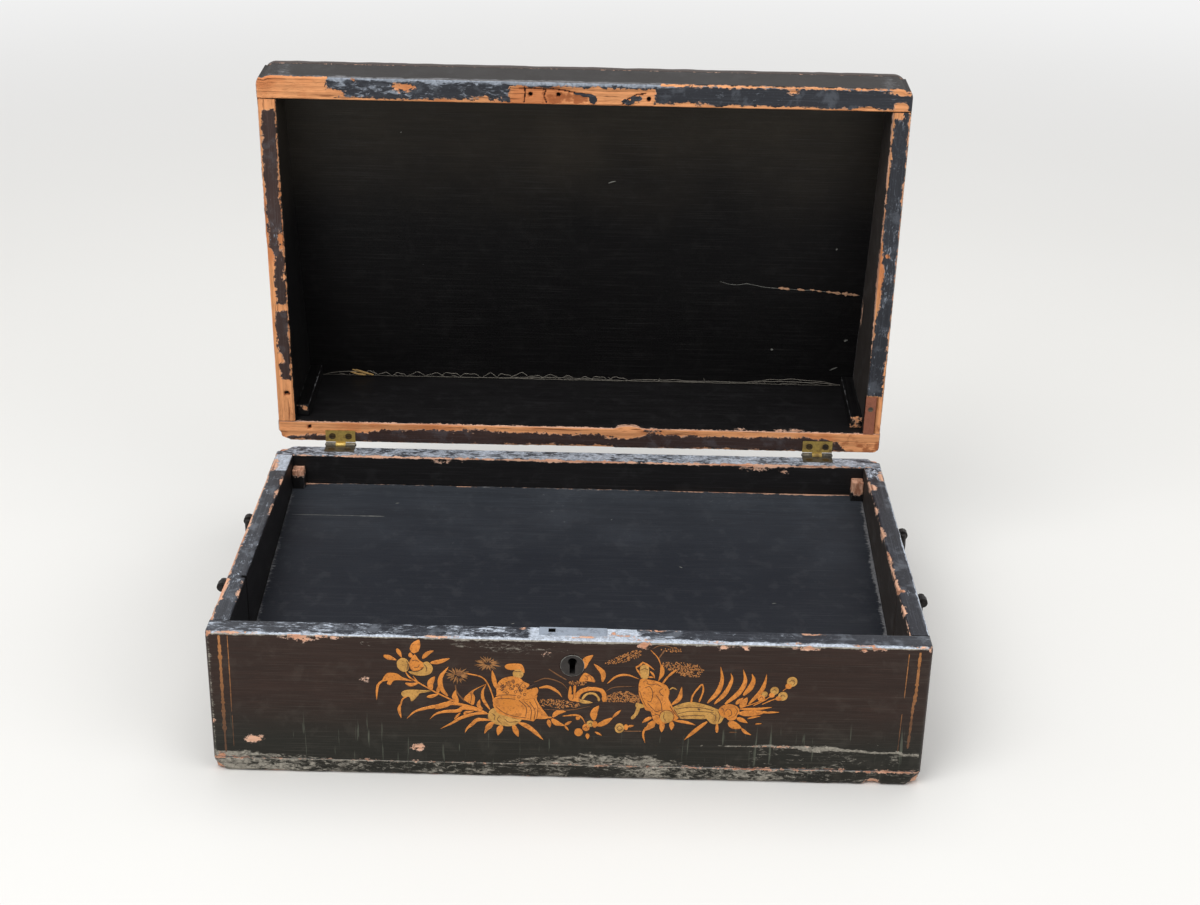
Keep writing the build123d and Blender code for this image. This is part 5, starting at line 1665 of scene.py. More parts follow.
GILT_PADS = (
    ((-84.5, 71.1), (-81.6, 76), (-79.2, 72.7), (-77, 70.7), (-77.4, 67.6), (-80.1, 66.1), (-82.7, 66),
     (-84.5, 68.5)),
    ((-97.8, 62.6), (-95.6, 64.4), (-91.1, 64), (-88.1, 61.8), (-82.7, 59.6), (-88.5, 60), (-92.9, 59.6),
     (-94.7, 57), (-96.7, 57.7), (-96.2, 59.5), (-99.1, 59.2)),
    ((-55.8, 49.2), (-53.1, 52.8), (-50.9, 54.9), (-43.8, 58.8), (-49.4, 55), (-50.7, 52.9),
     (-49.7, 50.4), (-50.5, 45.7), (-52.7, 46.5)),
    ((-62.2, 48.3), (-63.3, 44.9), (-66.8, 43.3), (-71.3, 42.4), (-69, 44.5), (-65.5, 46.9)),
    ((-38.2, 52.7), (-38, 58.3), (-35.2, 62.2), (-30.3, 63.9), (-26.3, 63.4), (-23.7, 60.9), (-20.6, 59),
     (-21.9, 55.9), (-16.6, 57.3), (-16.6, 53.2), (-22.3, 49.7), (-29.4, 50.8), (-37.8, 51.4)),
    ((-40.1, 46.5), (-38.5, 50.9), (-28.5, 50.8), (-22.3, 49.5), (-16.6, 52.6), (-16.6, 49.6),
     (-13.5, 44), (-10.4, 38.7), (-14.4, 37.7), (-17, 37.8), (-18.4, 36.2), (-20.6, 36.6), (-28.5, 37.8),
     (-36.9, 40.4), (-39.1, 43.4)),
    ((-33.8, 69.7), (-32.1, 71.5), (-25.9, 71.8), (-23.8, 69.8), (-23.3, 66.3), (-24.8, 67.3),
     (-25.9, 68.4), (-29.4, 67.8), (-32.3, 68.2)),
    ((0.9, 58.7), (2.1, 56.7), (1.9, 53.6), (2.8, 54.1), (2.9, 58.7), (4.3, 58.8), (4.1, 53.6),
     (5.5, 50.1), (3.3, 49.3), (0.9, 50), (-0, 52.5)),
    ((6, 62.9), (7.3, 65.5), (8.7, 67.1), (11.3, 66.1), (13.8, 63.6), (14.1, 61.5), (10.4, 62), (6.4, 61.6)),
    oval(5.5, 38.81, 1.2, 1.12, 0.02),
    oval(5.96, 29.86, 2.3, 2.46, 0.06),
    oval(9.92, 33.02, 2.04, 2.25, 0.03),
    oval(14.57, 35.16, 1.5, 2.03),
    ((37.7, 61.6), (39, 64.2), (43.4, 63.7), (47.8, 62.8), (50.7, 61.3), (52.5, 60.3), (54.1, 56.8),
     (53.7, 52.7), (55.1, 49.4), (56.9, 45.6), (59.5, 40.3), (55.8, 38.2), (52.2, 36.6), (48.7, 36.1),
     (45.8, 39.2), (44.4, 43.8), (41.6, 45), (40.3, 48.3), (38.1, 53.4), (37.6, 57.5)),
    oval(31.42, 33.76, 1.15, 1.85, 0.01),
    oval(86.3, 45.36, 5.65, 4.3, 0.11, 16),
    oval(87.83, 41.96, 2.92, 2.53, 0.03),
    oval(117.33, 61.72, 1.76, 1.73, 0.03),
    oval(108.7, 55.91, 1.6, 1.53, 0.02),
    oval(112.5, 53.95, 1.6, 1.4, 0.01),
    oval(103.25, 53.92, 2.1, 2.05, 0.05),
)
PALE_BLADES = (
    (2.44, ((5.1, 50.1), (8.6, 49.1), (13.2, 48.7))),
    (0.9, ((54, 57.8), (55.8, 59), (58.2, 57.9))),
)
PALE_STEMS = (
    (1.36, ((7.5, 50.6), (9.9, 53.8), (13.5, 54.4), (16.1, 52.1), (16.6, 49.8))),
    (1.99, ((37.9, 46.7), (36.8, 42.6), (34.3, 39))),
)
PALE_PADS = (
    ((-90.7, 72), (-88.1, 73.8), (-85.4, 72.6), (-84.5, 69.5), (-85.4, 65.9), (-88.1, 65.4),
     (-90.5, 67.4), (-91.1, 69.9)),
    ((-77.4, 70.7), (-74.8, 71.8), (-72.4, 69.3), (-72.1, 66.7), (-73.9, 64.1), (-78.3, 63),
     (-82.7, 63.7), (-85, 65.4), (-82.3, 65.7), (-79.2, 66.1), (-77, 67.9)),
    ((-89.2, 52), (-86.7, 53.9), (-81, 54.3), (-73, 53.7), (-79.2, 52.1), (-80.1, 50.7), (-83.6, 47),
     (-85, 49.8), (-88.1, 49.7)),
    ((-42.9, 38.7), (-41.8, 42.4), (-39.1, 43.9), (-36.5, 42.5), (-35.4, 39.9), (-36.5, 36.3),
     (-39.6, 34.7), (-42.2, 36.7)),
    ((-36.9, 39.4), (-32.5, 39.5), (-28.5, 37.5), (-24.8, 37.1), (-27.6, 34), (-31.6, 32.6), (-36, 33.3),
     (-39.6, 34.5)),
    oval(-26.69, 65.61, 2.9, 2.97, 0.05),
    ((14.2, 35.4), (13.8, 34.2), (12.8, 33.5), (11.5, 33.4), (10.5, 34.1), (10.1, 35.3), (10.5, 36.6),
     (11.5, 37.3), (12.8, 37.3), (13.8, 36.6)),
    ((38, 70.8), (39.4, 72.8), (42.2, 72.4), (42.9, 68.8), (42.1, 64.5), (38.6, 65.1)),
    oval(53.13, 41.02, 3.7, 3.97, 0.1, 14),
    ((36.6, 49.2), (39.9, 48.3), (41, 46.8), (38.1, 45.8), (36.3, 46.7)),
    ((56.1, 46.5), (59.3, 48.7), (64.6, 50.4), (69.9, 50), (77.4, 47.6), (80.1, 45.1), (74.8, 40.4),
     (66.8, 40), (60.2, 40.1), (57.8, 43.8)),
    oval(27.92, 33.06, 2.53, 3.06, 0.02),
    (
        (74.1, 41.7), (76.6, 45), (79.4, 46.6), (84.3, 43.7), (83.4, 40.1), (81.7, 37.5), (77.7, 37.1),
        (75, 39.6)
    ),
    oval(119, 64.42, 2.8, 3.06, 0.07),
    oval(110.02, 58.67, 2.3, 2.44, 0.06),
    oval(114.6, 55.36, 2.6, 2.74, 0.03),
    oval(104.84, 56.42, 1.66, 1.73, 0.03),
)
WORN_BLADES = (
    (0.72, ((-18.1, 60.7), (-11.7, 63.1), (-3.8, 60.6), (0.4, 55.8))),
    (0.54, ((-12.6, 43.8), (-2.9, 43.6), (3.7, 44.2), (12.1, 46.6))),
    (0.54, ((20.2, 56), (24.8, 58.6), (35.4, 59.5))),
    (0.63, ((87, 32), (91.4, 32.1))),
)
WORN_STEMS = (
    (0.81, ((-60.2, 57.8), (-59.3, 53.2), (-55.3, 47.7))),
    (0.72, ((-10.4, 68.9), (-5.5, 65.4), (-0.9, 62.5))),
    (0.45, ((44.3, 82.7), (47.8, 84.7), (52.2, 84.5), (58.4, 82.5))),
    (0.81, ((50.7, 82.1), (47.8, 77))),
    (0.54, ((30.1, 31.2), (35.4, 31.3), (39.9, 31.4))),
)
WORN_PADS = (
    oval(-58.2, 64.74, 1.5, 1.5, 0.04),
)
ROBE_LAP = 8
FLOWER_HEADS = (
    (-59.0, 63.9, 6.7, 5.5, 44),
    (-42.7, 71.4, 7.0, 4.7, 46),
)
DRAWN_LINES = (
    (0.41, ((-85, 70.5), (-84.1, 67.5), (-82.3, 65.7), (-79.2, 66.3), (-77.2, 68.4))),
    (0.36, ((-83.2, 72.1), (-81, 72.7), (-79.2, 71.7))),
    (0.36, ((-81.9, 68.1), (-79.7, 68.6), (-79.2, 70.2))),
    (0.36, ((-85.8, 72.1), (-85.2, 69.5), (-85.8, 66.4))),
    (0.36, ((-76.6, 70.2), (-75.2, 68.2), (-75.7, 65.6))),
    (0.36, ((-52.2, 46.7), (-51.6, 50.3), (-52, 52.9))),
    (0.36, ((-36.5, 39.4), (-37.8, 36.8), (-35.6, 34.3))),
    (0.36, ((-33.8, 37.4), (-31.6, 35.4), (-26.8, 36))),
    (0.32, ((-40.9, 40.8), (-39.1, 39.3), (-39.6, 36.8))),
    (0.41, ((-37.6, 52.1), (-32.5, 52.5), (-27.6, 52.3))),
    (0.36, ((-38, 49.9), (-32.5, 50.2), (-28.1, 49.8))),
    (0.41, ((-26.3, 49.4), (-22.3, 44.8), (-22.6, 39.2))),
    (0.41, ((-23.4, 48.4), (-19.7, 43.9), (-20, 37.2))),
    (0.41, ((-20.6, 48.5), (-17.6, 42.9), (-18.1, 37.3))),
    (0.36, ((-18.4, 51.1), (-16.1, 45), (-16.6, 38.3))),
    (0.36, ((-38.7, 45), (-33.8, 41), (-28.1, 39.1), (-22.3, 38.4))),
    (0.99, ((-22.3, 56.5), (-17.9, 59.7))),
    (0.36, ((-36, 59.9), (-34.3, 56.9), (-35.6, 54.8))),
    (0.36, ((-24.1, 60.2), (-26.3, 57), (-25, 53))),
    (0.36, ((-29.4, 67.7), (-27.6, 67), (-25, 67.3))),
    *((0.32, diamond(*centre)) for centre in (
        (-32.1, 60), (-29.4, 61, 0.1), (-27.2, 58.5, 0.1), (-30.7, 56.4), (-28.1, 54.4, 0.1),
        (-25, 55.5), (-32.5, 53.8), (-23.2, 53), (-26.3, 51.4), (-34.7, 57.8, 0.1),
    )),
    (0.32, ((1.8, 57.7), (2.9, 52.6), (2.4, 50.5))),
    (0.32, ((6, 49.6), (6.2, 52.1), (8.2, 54.7), (12.1, 56.1), (16.6, 55.6), (18.2, 52.9))),
    (0.32, ((8.6, 66), (10.4, 64), (9.9, 62.5))),
    (0.32, ((11.7, 65.1), (12.6, 63))),
    (0.32, ((8.6, 32.7), (9.9, 33.8), (10.8, 32.3))),
    (0.32, ((11.3, 35.4), (12.6, 36.2), (13, 34.4))),
    (0.36, ((38.5, 69.8), (40.3, 70.6), (42.3, 70.1))),
    (0.41, ((40.8, 58.6), (43.4, 59.6), (45.2, 55.6), (44.3, 50.4), (42.1, 50.9))),
    (0.41, ((41.6, 61.6), (44.3, 60.7), (46.9, 61.3), (49.6, 59.8))),
    (0.41, ((46.9, 54.6), (49.6, 50.1), (50.5, 44.4))),
    (0.41, ((42.5, 49.4), (46.9, 44.4), (49.6, 44.9))),
    (0.41, ((45.2, 41.3), (47.8, 42.3), (49.6, 41.4))),
    (0.41, ((54.5, 48.1), (56.7, 44.1), (60, 40.3))),
    (0.36, ((38.1, 57), (39.9, 51.4), (42.1, 46.8))),
    (0.36, ((50.5, 58.8), (48.7, 56.7), (50.9, 53.7))),
    (0.36, ((39.9, 62.6), (41.6, 63.2), (42.5, 61.7))),
    (0.36, ((49.1, 40.2), (49.9, 43.6), (52.6, 45.2), (55.6, 44.3), (57, 41.4), (56.4, 38.4))),
    (0.32, ((51.8, 43.2), (51.4, 40.6), (52.6, 38.6))),
    (0.36, ((58, 45.9), (64.6, 47.3), (72.1, 47), (77.9, 45.6))),
    (0.36, ((58.9, 43.1), (65.5, 44.8), (73.5, 44.7), (78.3, 44.3))),
    (0.36, ((60.4, 41.3), (66.4, 42.2), (73.5, 42.2))),
    (0.32, ((56.7, 46.1), (58.4, 43.1), (60.4, 40.3))),
    (0.99, ((69.5, 46.5), (71, 45.9))),
    (0.36, ((26.4, 33.1), (27.9, 34.7), (29.5, 33.2), (27.9, 31.6), (26.4, 33.1))),
    (0.36, ((76.8, 44), (79.4, 42), (79, 39))),
    (0.36, ((80.3, 45.6), (81.7, 42.1), (80.8, 38.5))),
    (0.41, ((84.3, 45.2), (85.6, 46.8), (87.4, 45.8), (87.8, 43.2), (86.1, 42.2))),
    (0.36, ((89.6, 47.9), (90.9, 45.4), (89.6, 42.3))),
    (0.36, ((81.7, 47.7), (83.4, 46.2), (83.9, 43.2))),
    (0.32, ((117.5, 64.4), (119, 65.7), (120.6, 64.2), (119.7, 62.7))),
    (0.32, ((108.8, 58.6), (109.9, 59.6), (111.3, 58.4))),
    (0.32, ((113.3, 55.3), (114.6, 56.4), (115.9, 55.1))),
    (0.32, ((102.2, 53.8), (103.3, 54.9), (104.4, 53.6))),
)
DOT_PATCHES = (
    (-5.1, 47.5, 10.85, 2.7, -4, 150),
    (5.1, 60.8, 4.97, 1.5, 0, 40),
    (30.1, 77.0, 10.17, 2.4, 22, 150),
    (61.5, 70.8, 11.07, 4.0, -12, 260),
    (54.5, 82.4, 5.42, 1.5, 0, 36),
    (28.6, 52.4, 9.04, 3.4, 4, 210),
    (35.9, 51.3, 2.71, 2.6, 0, 50),
)

END_STRIPES = (
    (1.9, ((-184.8, 85), (-184.9, 62), (-185.1, 40), (-185.2, 24))),
    (0.55, ((-180.3, 85), (-180.4, 62), (-180.7, 38))),
    (1.0, ((-185.2, 27), (-185.3, 12))),
    (0.4, ((-180.6, 36), (-180.8, 16))),
    (1.7, ((185.6, 84), (185.4, 62), (185.2, 52))),
    (1.3, ((184.6, 58), (184.3, 38), (183.8, 24))),
    (0.5, ((179.8, 83), (179.4, 56))),
    (0.5, ((179.0, 46), (178.6, 22))),
)


def flower_head(relief, x, y, wide, tall, count, seed):
    """A round flower head drawn with fine strokes that radiate from its middle."""
    rng = np.random.default_rng(seed)
    for number in range(count):
        angle = math.tau * (number + rng.uniform(-0.4, 0.4)) / count
        inner, outer, bend = rng.uniform(0.12, 0.5), rng.uniform(0.68, 1.06), rng.uniform(-0.2, 0.2)
        across, up = wide * math.cos(angle), tall * math.sin(angle)
        path = []
        for share in (inner, 0.5 * (inner + outer), outer):
            turn = bend * (share - inner)
            path.append((x + across * share - up * turn, y + up * share + across * turn))
        relief.blade(path, rng.uniform(0.32, 0.52), False, 0.001 * number, 0.35, seed + number)


def make_spray():
    """The gilt spray of flowers, leaves and two robed figures on the front, with its end stripes."""
    height = sizes().gilt_height / MM
    kinds = {
        "gilt": (GILT_BLADES, GILT_STEMS, GILT_PADS),
        "pale_gilt": (PALE_BLADES, PALE_STEMS, PALE_PADS),
        "thin_gilt": (WORN_BLADES, WORN_STEMS, WORN_PADS),
    }
    for level, (finish, (blades, stems, pads)) in enumerate(kinds.items()):
        relief = Relief(height)
        lift = 0.012 * (2 - level)
        for number, outline in enumerate(pads):
            over = 0.05 if finish == "pale_gilt" and number == ROBE_LAP else 0.0
            relief.pad(outline, lift + over + 0.002 * number)
        for number, (width, path) in enumerate(blades):
            relief.blade(path, width, False, lift + 0.001 * number, 0.12, number)
        for number, (width, path) in enumerate(stems):
            relief.blade(path, width, True, lift + 0.0015 * number, 0.2, number)
        relief.piece(f"spray_{finish}", on_front, finish, "case")
    heads = Relief(0.7 * height)
    for number, place in enumerate(FLOWER_HEADS):
        flower_head(heads, *place, 300 + 50 * number)
    heads.piece("spray_flower_heads", on_front, "head_gilt", "case")
    stripes = Relief(0.6 * height)
    for number, (width, path) in enumerate(END_STRIPES):
        stripes.blade(path, width, True, 0.0, 0.7, 40 + number)
    stripes.piece("end_stripes", on_front, "stripe", "case")
    drawn = Relief(0.5 * height)
    for number, (width, path) in enumerate(DRAWN_LINES):
        drawn.blade(path, 0.85 * width, True, height + 0.06, 0.15, number)
    rng = np.random.default_rng(71)
    for number in range(20):
        where, far = rng.uniform(0, math.tau), math.sqrt(rng.uniform(0, 1))
        u, v = -29.4 + 6.4 * far * math.cos(where), 56.9 + 4.8 * far * math.sin(where)
        turn, radius = rng.uniform(0, math.tau), rng.uniform(0.5, 0.95)
        curl = [
            (u + radius * math.cos(a), v + radius * math.sin(a)) for a in np.linspace(turn, turn + 4.2, 6)
        ]
        drawn.blade(curl, 0.28, True, height + 0.06, 0.15, 500 + number)
    drawn.piece("spray_drawn_lines", on_front, "line", "case")


def make_plate_rim():
    """Bright worn edge of the keyhole plate: a pale ring that is painted highlight, with wear."""
    ring = Relief(0.13)
    turns = np.linspace(0, math.tau, 41)
    path = np.column_stack([LOCK_X + 6.25 * np.cos(turns), ESCUTCHEON_Z + 6.25 * np.sin(turns)])
    for part in range(4):
        ring.blade(path[part * 10 : part * 10 + 11], 0.34, True, 0.24, 0.6, part)
    # The scuff finish here paints the highlight on the plate's edge.
    ring.piece("escutcheon_rim", on_front, "scuff", "case", "steel")


def dot_tree():
    """Geometry Nodes that scatter small domes over patches, as many as each patch asks for."""
    tree = bpy.data.node_groups.new("gilt dots", "GeometryNodeTree")
    tree.interface.new_socket("Patches", in_out="INPUT", socket_type="NodeSocketGeometry")
    radius = tree.interface.new_socket("Dot Radius", in_out="INPUT", socket_type="NodeSocketFloat")
    seed = tree.interface.new_socket("Seed", in_out="INPUT", socket_type="NodeSocketInt")
    finish = tree.interface.new_socket("Finish", in_out="INPUT", socket_type="NodeSocketMaterial")
    tree.interface.new_socket("Dots", in_out="OUTPUT", socket_type="NodeSocketGeometry")
    new = tree.nodes.new
    source, result = new("NodeGroupInput"), new("NodeGroupOutput")
    density = new("GeometryNodeInputNamedAttribute")
    density.data_type = "FLOAT"
    density.inputs["Name"].default_value = "density"
    scatter = new("GeometryNodeDistributePointsOnFaces")
    dot = new("GeometryNodeMeshIcoSphere")
    dot.inputs["Subdivisions"].default_value = 1
    spread = new("FunctionNodeRandomValue")
    spread.data_type = "FLOAT_VECTOR"
    spread.inputs[0].default_value = (0.55, 0.4, 0.55)
    spread.inputs[1].default_value = (1.35, 0.6, 1.25)
    place = new("GeometryNodeInstanceOnPoints")
    real = new("GeometryNodeRealizeInstances")
    paint = new("GeometryNodeSetMaterial")
    for giver, out, taker, into in (
        (source, "Patches", scatter, "Mesh"),
        (density, "Attribute", scatter, "Density"),
        (source, "Seed", scatter, "Seed"),
        (source, "Dot Radius", dot, "Radius"),
        (source, "Seed", spread, "Seed"),
        (scatter, "Points", place, "Points"),
        (dot, "Mesh", place, "Instance"),
        (spread, 0, place, "Scale"),
        (place, "Instances", real, "Geometry"),
        (real, "Geometry", paint, "Geometry"),
        (source, "Finish", paint, "Material"),
        (paint, "Geometry", result, "Dots"),
    ):
        tree.links.new(giver.outputs[out], taker.inputs[into])
    return tree, radius.identifier, seed.identifier, finish.identifier


def make_dots():
    """The dotted foliage and ground of the spray."""
    points, faces, density = [], [], []
    for u, v, wide, high, turn, count in DOT_PATCHES:
        angle = math.radians(turn)
        first = len(points)
        for a in np.linspace(0, math.tau, 28, endpoint=False):
            reach = 1.0 + 0.12 * math.sin(3 * a + u) + 0.06 * math.sin(7 * a)
            x, z = wide * reach * math.cos(a), high * reach * math.sin(a)
            across = u + x * math.cos(angle) - z * math.sin(angle)
            points.append((across, v + x * math.sin(angle) + z * math.cos(angle), 0.0))
        faces.append(tuple(range(first, first + 28)))
        density.append(1.15 * count / (math.pi * wide * high * MM * MM))
    mesh = bpy.data.meshes.new("spray_dots")
    mesh.from_pydata((on_front(*np.array(points).T) * MM).tolist(), [], faces)
    mesh.update()
    layer = mesh.attributes.new("density", "FLOAT", "FACE")
    layer.data.foreach_set("value", density)
    piece = add_object("spray_dots", mesh)
    tree, radius, seed, finish = dot_tree()
    modifier = piece.modifiers.new("dots", "NODES")
    modifier.node_group = tree
    modifier[radius] = sizes().dot_radius
    modifier[seed] = sizes().seed
    modifier[finish] = finish_called("dot_gilt")
    settle(piece)
    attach(piece, "case")


# Marks on the lid's lining and the inner floor


def scratch(relief, place, lift, seed):
    """A short bent stroke: the middle, the length, the width and the turn."""
    u, v, long, wide, turn = place
    du, dv = long / 2 * math.cos(turn), long / 2 * math.sin(turn)
    relief.blade([(u - du, v - dv), (u, v + lift), (u + du, v + dv)], wide, False, 0.0, 0.6, seed)


class Threads:
    """Thin fibres as closed tubes with four sides, gathered into one mesh."""

    def __init__(self):
        self.points = []
        self.faces = []

    def strand(self, path, radius, flat=1.0):
        """A tapered fibre along a path."""
        line = np.array(path, dtype=float)
        way = np.gradient(line, axis=0)
        way /= np.maximum(np.linalg.norm(way, axis=1), 1e-9)[:, None]
        first = len(self.points)
        for i, (centre, ahead) in enumerate(zip(line, way)):
            side = np.cross(ahead, (0.13, 0.31, 0.94))
            side /= max(np.linalg.norm(side), 1e-9)
            up = np.cross(side, ahead)
            taper = 0.35 + 0.65 * math.sin(math.pi * (i + 0.5) / len(line)) ** 0.5
            for a, b in ((1, 0), (0, 1), (-1, 0), (0, -1)):
                self.points.append(tuple(centre + (side * a + up * b * flat) * radius * taper))
        for i in range(len(line) - 1):
            for j in range(4):
                a, b = first + 4 * i + j, first + 4 * i + (j + 1) % 4
                self.faces.append((a, b, b + 4, a + 4))
        last = first + 4 * (len(line) - 1)
        self.faces.append((first + 3, first + 2, first + 1, first))
        self.faces.append((last, last + 1, last + 2, last + 3))


def make_fibres():
    """Frayed fibres along the inner joint of the lid's top and back, and a few dry straws caught there."""
    rng = np.random.default_rng(11)
    radius = sizes().fibre_radius / MM
    corner_y, corner_z = INNER_Y - 0.5, ceiling(INNER_Y) - 0.6
    threads = Threads()

    def lie(along, rise, out):
        """Points on the lining: a height above the joint, and how far they stand out from the board."""
        y = corner_y - rise
        return np.column_stack([along, y, ceiling(y) - 0.3 - out])

    ground = np.arange(-174.0, 174.0, 1.3)
    wander = soft_noise(np.column_stack([ground, ground * 0, ground * 0]), 6.0, 77)
    threads.strand(lie(ground, 0.3 + 0.2 * wander, 0.3), radius)
    place = -146.0
    while place < 20.0:
        width, rise = rng.uniform(9.0, 15.0), rng.uniform(2.4, 4.8)
        steps = np.linspace(0, 1, 12)
        hump = rise * np.sin(math.pi * steps) ** 0.8 * (1.0 + 0.2 * np.sin(9 * steps + place))
        threads.strand(lie(place + width * steps, 0.3 + hump, 0.3 + 0.5 * np.sin(math.pi * steps)), radius)
        place += width * rng.uniform(0.75, 1.1)
    for start, end, rise in (
        (108, 174, 4.2), (112, 160, 2.6), (132, 176, 2.0), (-172, -140, 3.0), (30, 84, 1.6), (60, 118, 1.2),
        (-60, 30, 1.4),
    ):
        steps = np.linspace(0, 1, 30)
        base = np.column_stack([start + steps * (end - start), steps * 0, steps * 0])
        wave = rise * np.sin(math.pi * steps) ** 0.7 + 0.5 * soft_noise(base, 7.0, end)
        threads.strand(lie(base[:, 0], 0.3 + np.abs(wave), 0.4 + 0.4 * steps * (1 - steps)), radius)
    for _ in range(30):
        x = rng.uniform(-168, 176)
        turn, reach = rng.uniform(0.2, math.pi - 0.2), rng.uniform(1.5, 4.5)
        steps = np.linspace(0, 1, 9)
        along = x + reach * steps * math.cos(turn) + 0.4 * np.sin(steps * 5)
        threads.strand(
            lie(along, 0.3 + reach * math.sin(turn) * steps**0.8, 0.3 + 0.8 * steps), radius * 0.85
        )
    build_threads(threads, "lid_joint_fibres", "fibre")
    straws = Threads()
    for x, rise, reach, fall, out in (
        (-153.5, 4.6, 9.0, 2.6, 0.6), (-151.0, 4.9, 10.5, 3.3, 1.4), (-149.0, 3.4, 9.5, 2.4, 0.9),
        (-155.0, 3.0, 4.0, 0.6, 0.7),
        (-152.5, 2.4, 8.0, 1.0, 1.8),
    ):
        steps = np.linspace(0, 1, 6)
        spots = [x + reach * steps, corner_y - rise + fall * steps, corner_z - out - 0.3 * np.sin(3 * steps)]
        straws.strand(np.column_stack(spots), 0.55, 0.4)
    build_threads(straws, "lid_joint_straws", "straw")


def build_threads(threads, name, finish):
    """The fibres as one object on the open lid."""
    mesh = bpy.data.meshes.new(name)
    mesh.from_pydata((opened(np.array(threads.points)) * MM).tolist(), [], threads.faces)
    mesh.update()
    mesh.materials.append(finish_called(finish))
    item = add_object(name, mesh)
    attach(item, "lid")


def make_lining_marks():
    """The crack across the lid's lining with its bare flecks, and a few small scuffs."""
    crack = Relief(0.12)
    path = (
        (88.6, 94.3), (94.3, 92.5), (100.1, 92.1), (105.8, 93.0), (111.6, 92.0), (117.3, 90.8), (126.9, 90.0),
        (134.6, 89.7), (142.2, 89.1), (149.9, 89.2), (156.6, 88.3), (164.3, 87.2), (171.0, 86.8),
        (179.6, 85.9),
    )
    crack.blade(path, 0.34, True, -0.02, 0.5, 5)
    for number, place in enumerate((
        (17.6, 164.8, 5.0, 0.8, 0.3), (161.4, 120.1, 1.4, 1.2, 1.0), (125.9, 42.2, 1.5, 1.3, 0.3),
        (174.0, 50.7, 2.6, 1.5, 0.5), (168.0, 28.0, 5.5, 0.9, 0.5), (-112.0, 196.0, 1.0, 0.5, 0.9),
    )):
        scratch(crack, place, 0.2, 30 + number)
    crack.piece("lining_crack", on_lining, "scuff", "lid")
    flecks = Relief(0.16)
    for number, (u, v, long, wide) in enumerate((
        (130.2, 90.0, 7.4, 2.1), (141.3, 89.3, 5.2, 1.3), (148.6, 89.4, 3.6, 1.0), (152.8, 88.6, 3.8, 1.2),
        (160.6, 87.9, 6.0, 1.9), (164.6, 87.4, 5.0, 2.4), (170.6, 86.9, 5.8, 3.0), (175.6, 86.4, 6.4, 2.4),
    )):
        flecks.blade(
            [(u - long / 2, v + 0.4), (u, v), (u + long / 2, v - 0.4)], wide, False, 0.0, 0.9, number
        )
    flecks.piece("lining_flecks", on_lining, "chip", "lid", "bare_wood")


def on_floor(u, v, up):
    """Places on the sloping inner floor: u along it, v towards the back."""
    return np.column_stack([u, v, floor_height(v) + up])


def make_floor_marks():
    """A long scratch near the back of the inner floor, and a few small ones."""
    scratches = Relief(0.08)
    for number, place in enumerate((
        (-150.0, 69.0, 54.0, 0.26, 0.0), (-127.0, 69.0, 15.0, 0.6, 0.01), (-38.0, -44.0, 3.4, 0.9, 0.1),
        (-34.0, -37.0, 2.2, 0.5, 0.4), (-113.0, 84.0, 2.4, 0.8, 0.2), (64.0, 22.0, 2.0, 0.5, 2.6),
        (-96.0, -62.0, 1.6, 0.5, 0.3), (22.0, 71.0, 1.4, 0.5, 0.9), (118.0, -12.0, 2.4, 0.4, 0.1),
    )):
        scratch(scratches, place, 0.1, 60 + number)
    scratches.piece("floor_scratches", on_floor, "scuff", "case")


# Operators


class WORKBOX_OT_case_boards(bpy.types.Operator):
    """Makes the worn lacquered boards of the case"""

    bl_idname = "workbox.case_boards"
    bl_label = "Case Boards"

    def execute(self, context):
        make_case_front()
        make_case_back()
        make_case_side(-1)
        make_case_side(1)
        make_case_bottom()
        make_inner_floor()
        make_block(-1, False)
        make_block(1, False)
        return {"FINISHED"}


class WORKBOX_OT_lid_boards(bpy.types.Operator):
    """Makes the worn lacquered boards of the lid"""

    bl_idname = "workbox.lid_boards"
    bl_label = "Lid Boards"

    def execute(self, context):
        make_lid_front()
        make_lid_back()
        make_lid_side(-1)
        make_lid_side(1)
        make_lid_top()
        make_block(-1, True)
        make_block(1, True)
        return {"FINISHED"}


class WORKBOX_OT_gilding(bpy.types.Operator):
    """Makes the gilt spray and stripes on the front of the case"""

    bl_idname = "workbox.gilding"
    bl_label = "Gilding"

    def execute(self, context):
        make_spray()
        make_dots()
        make_plate_rim()
        return {"FINISHED"}


class WORKBOX_OT_lining(bpy.types.Operator):
    """Makes the fibres, the crack and the scuffs of the lid's lining"""

    bl_idname = "workbox.lining"
    bl_label = "Lid Lining"

    def execute(self, context):
        make_fibres()
        make_lining_marks()
        make_floor_marks()
        return {"FINISHED"}


class WORKBOX_OT_fittings(bpy.types.Operator):
    """Gives the solid fittings and blocks their metal and wood finishes"""

    bl_idname = "workbox.fittings"
    bl_label = "Fittings"

    def execute(self, context):
        finishes = {
            "wood": ("ledge_front", "ledge_back"),
            "red_wood": ("rim_patch",),
            "brass": ("hinge_left_lid_leaf", "hinge_right_lid_leaf"),
            "grey_brass": ("hinge_left_case_leaf", "hinge_right_case_leaf", "rim_patch_screw"),
            "dark_brass": ("lid_hinge_screws", "case_hinge_screws"),
            "plate": ("escutcheon",),
            "steel": ("hinge_left_pin", "hinge_right_pin", "lock_spring"),
            "bright_steel": ("lock_plate",),
            "iron": (
                "case_bottom_nails", "lid_top_nails", "lock_key_pin", "lock_screws", "handle_left_posts",
                "handle_right_posts", "handle_left_bail", "handle_right_bail", "lock_cap", "lock_bolt",
            ),
        }
        for key, names in finishes.items():
            for name in names:
                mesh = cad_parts[name].data
                for slot in range(max(1, len(mesh.materials))):
                    if slot < len(mesh.materials):
                        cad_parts[name].material_slots[slot].material = finish_called(key)
                    else:
                        mesh.materials.append(finish_called(key))
        return {"FINISHED"}


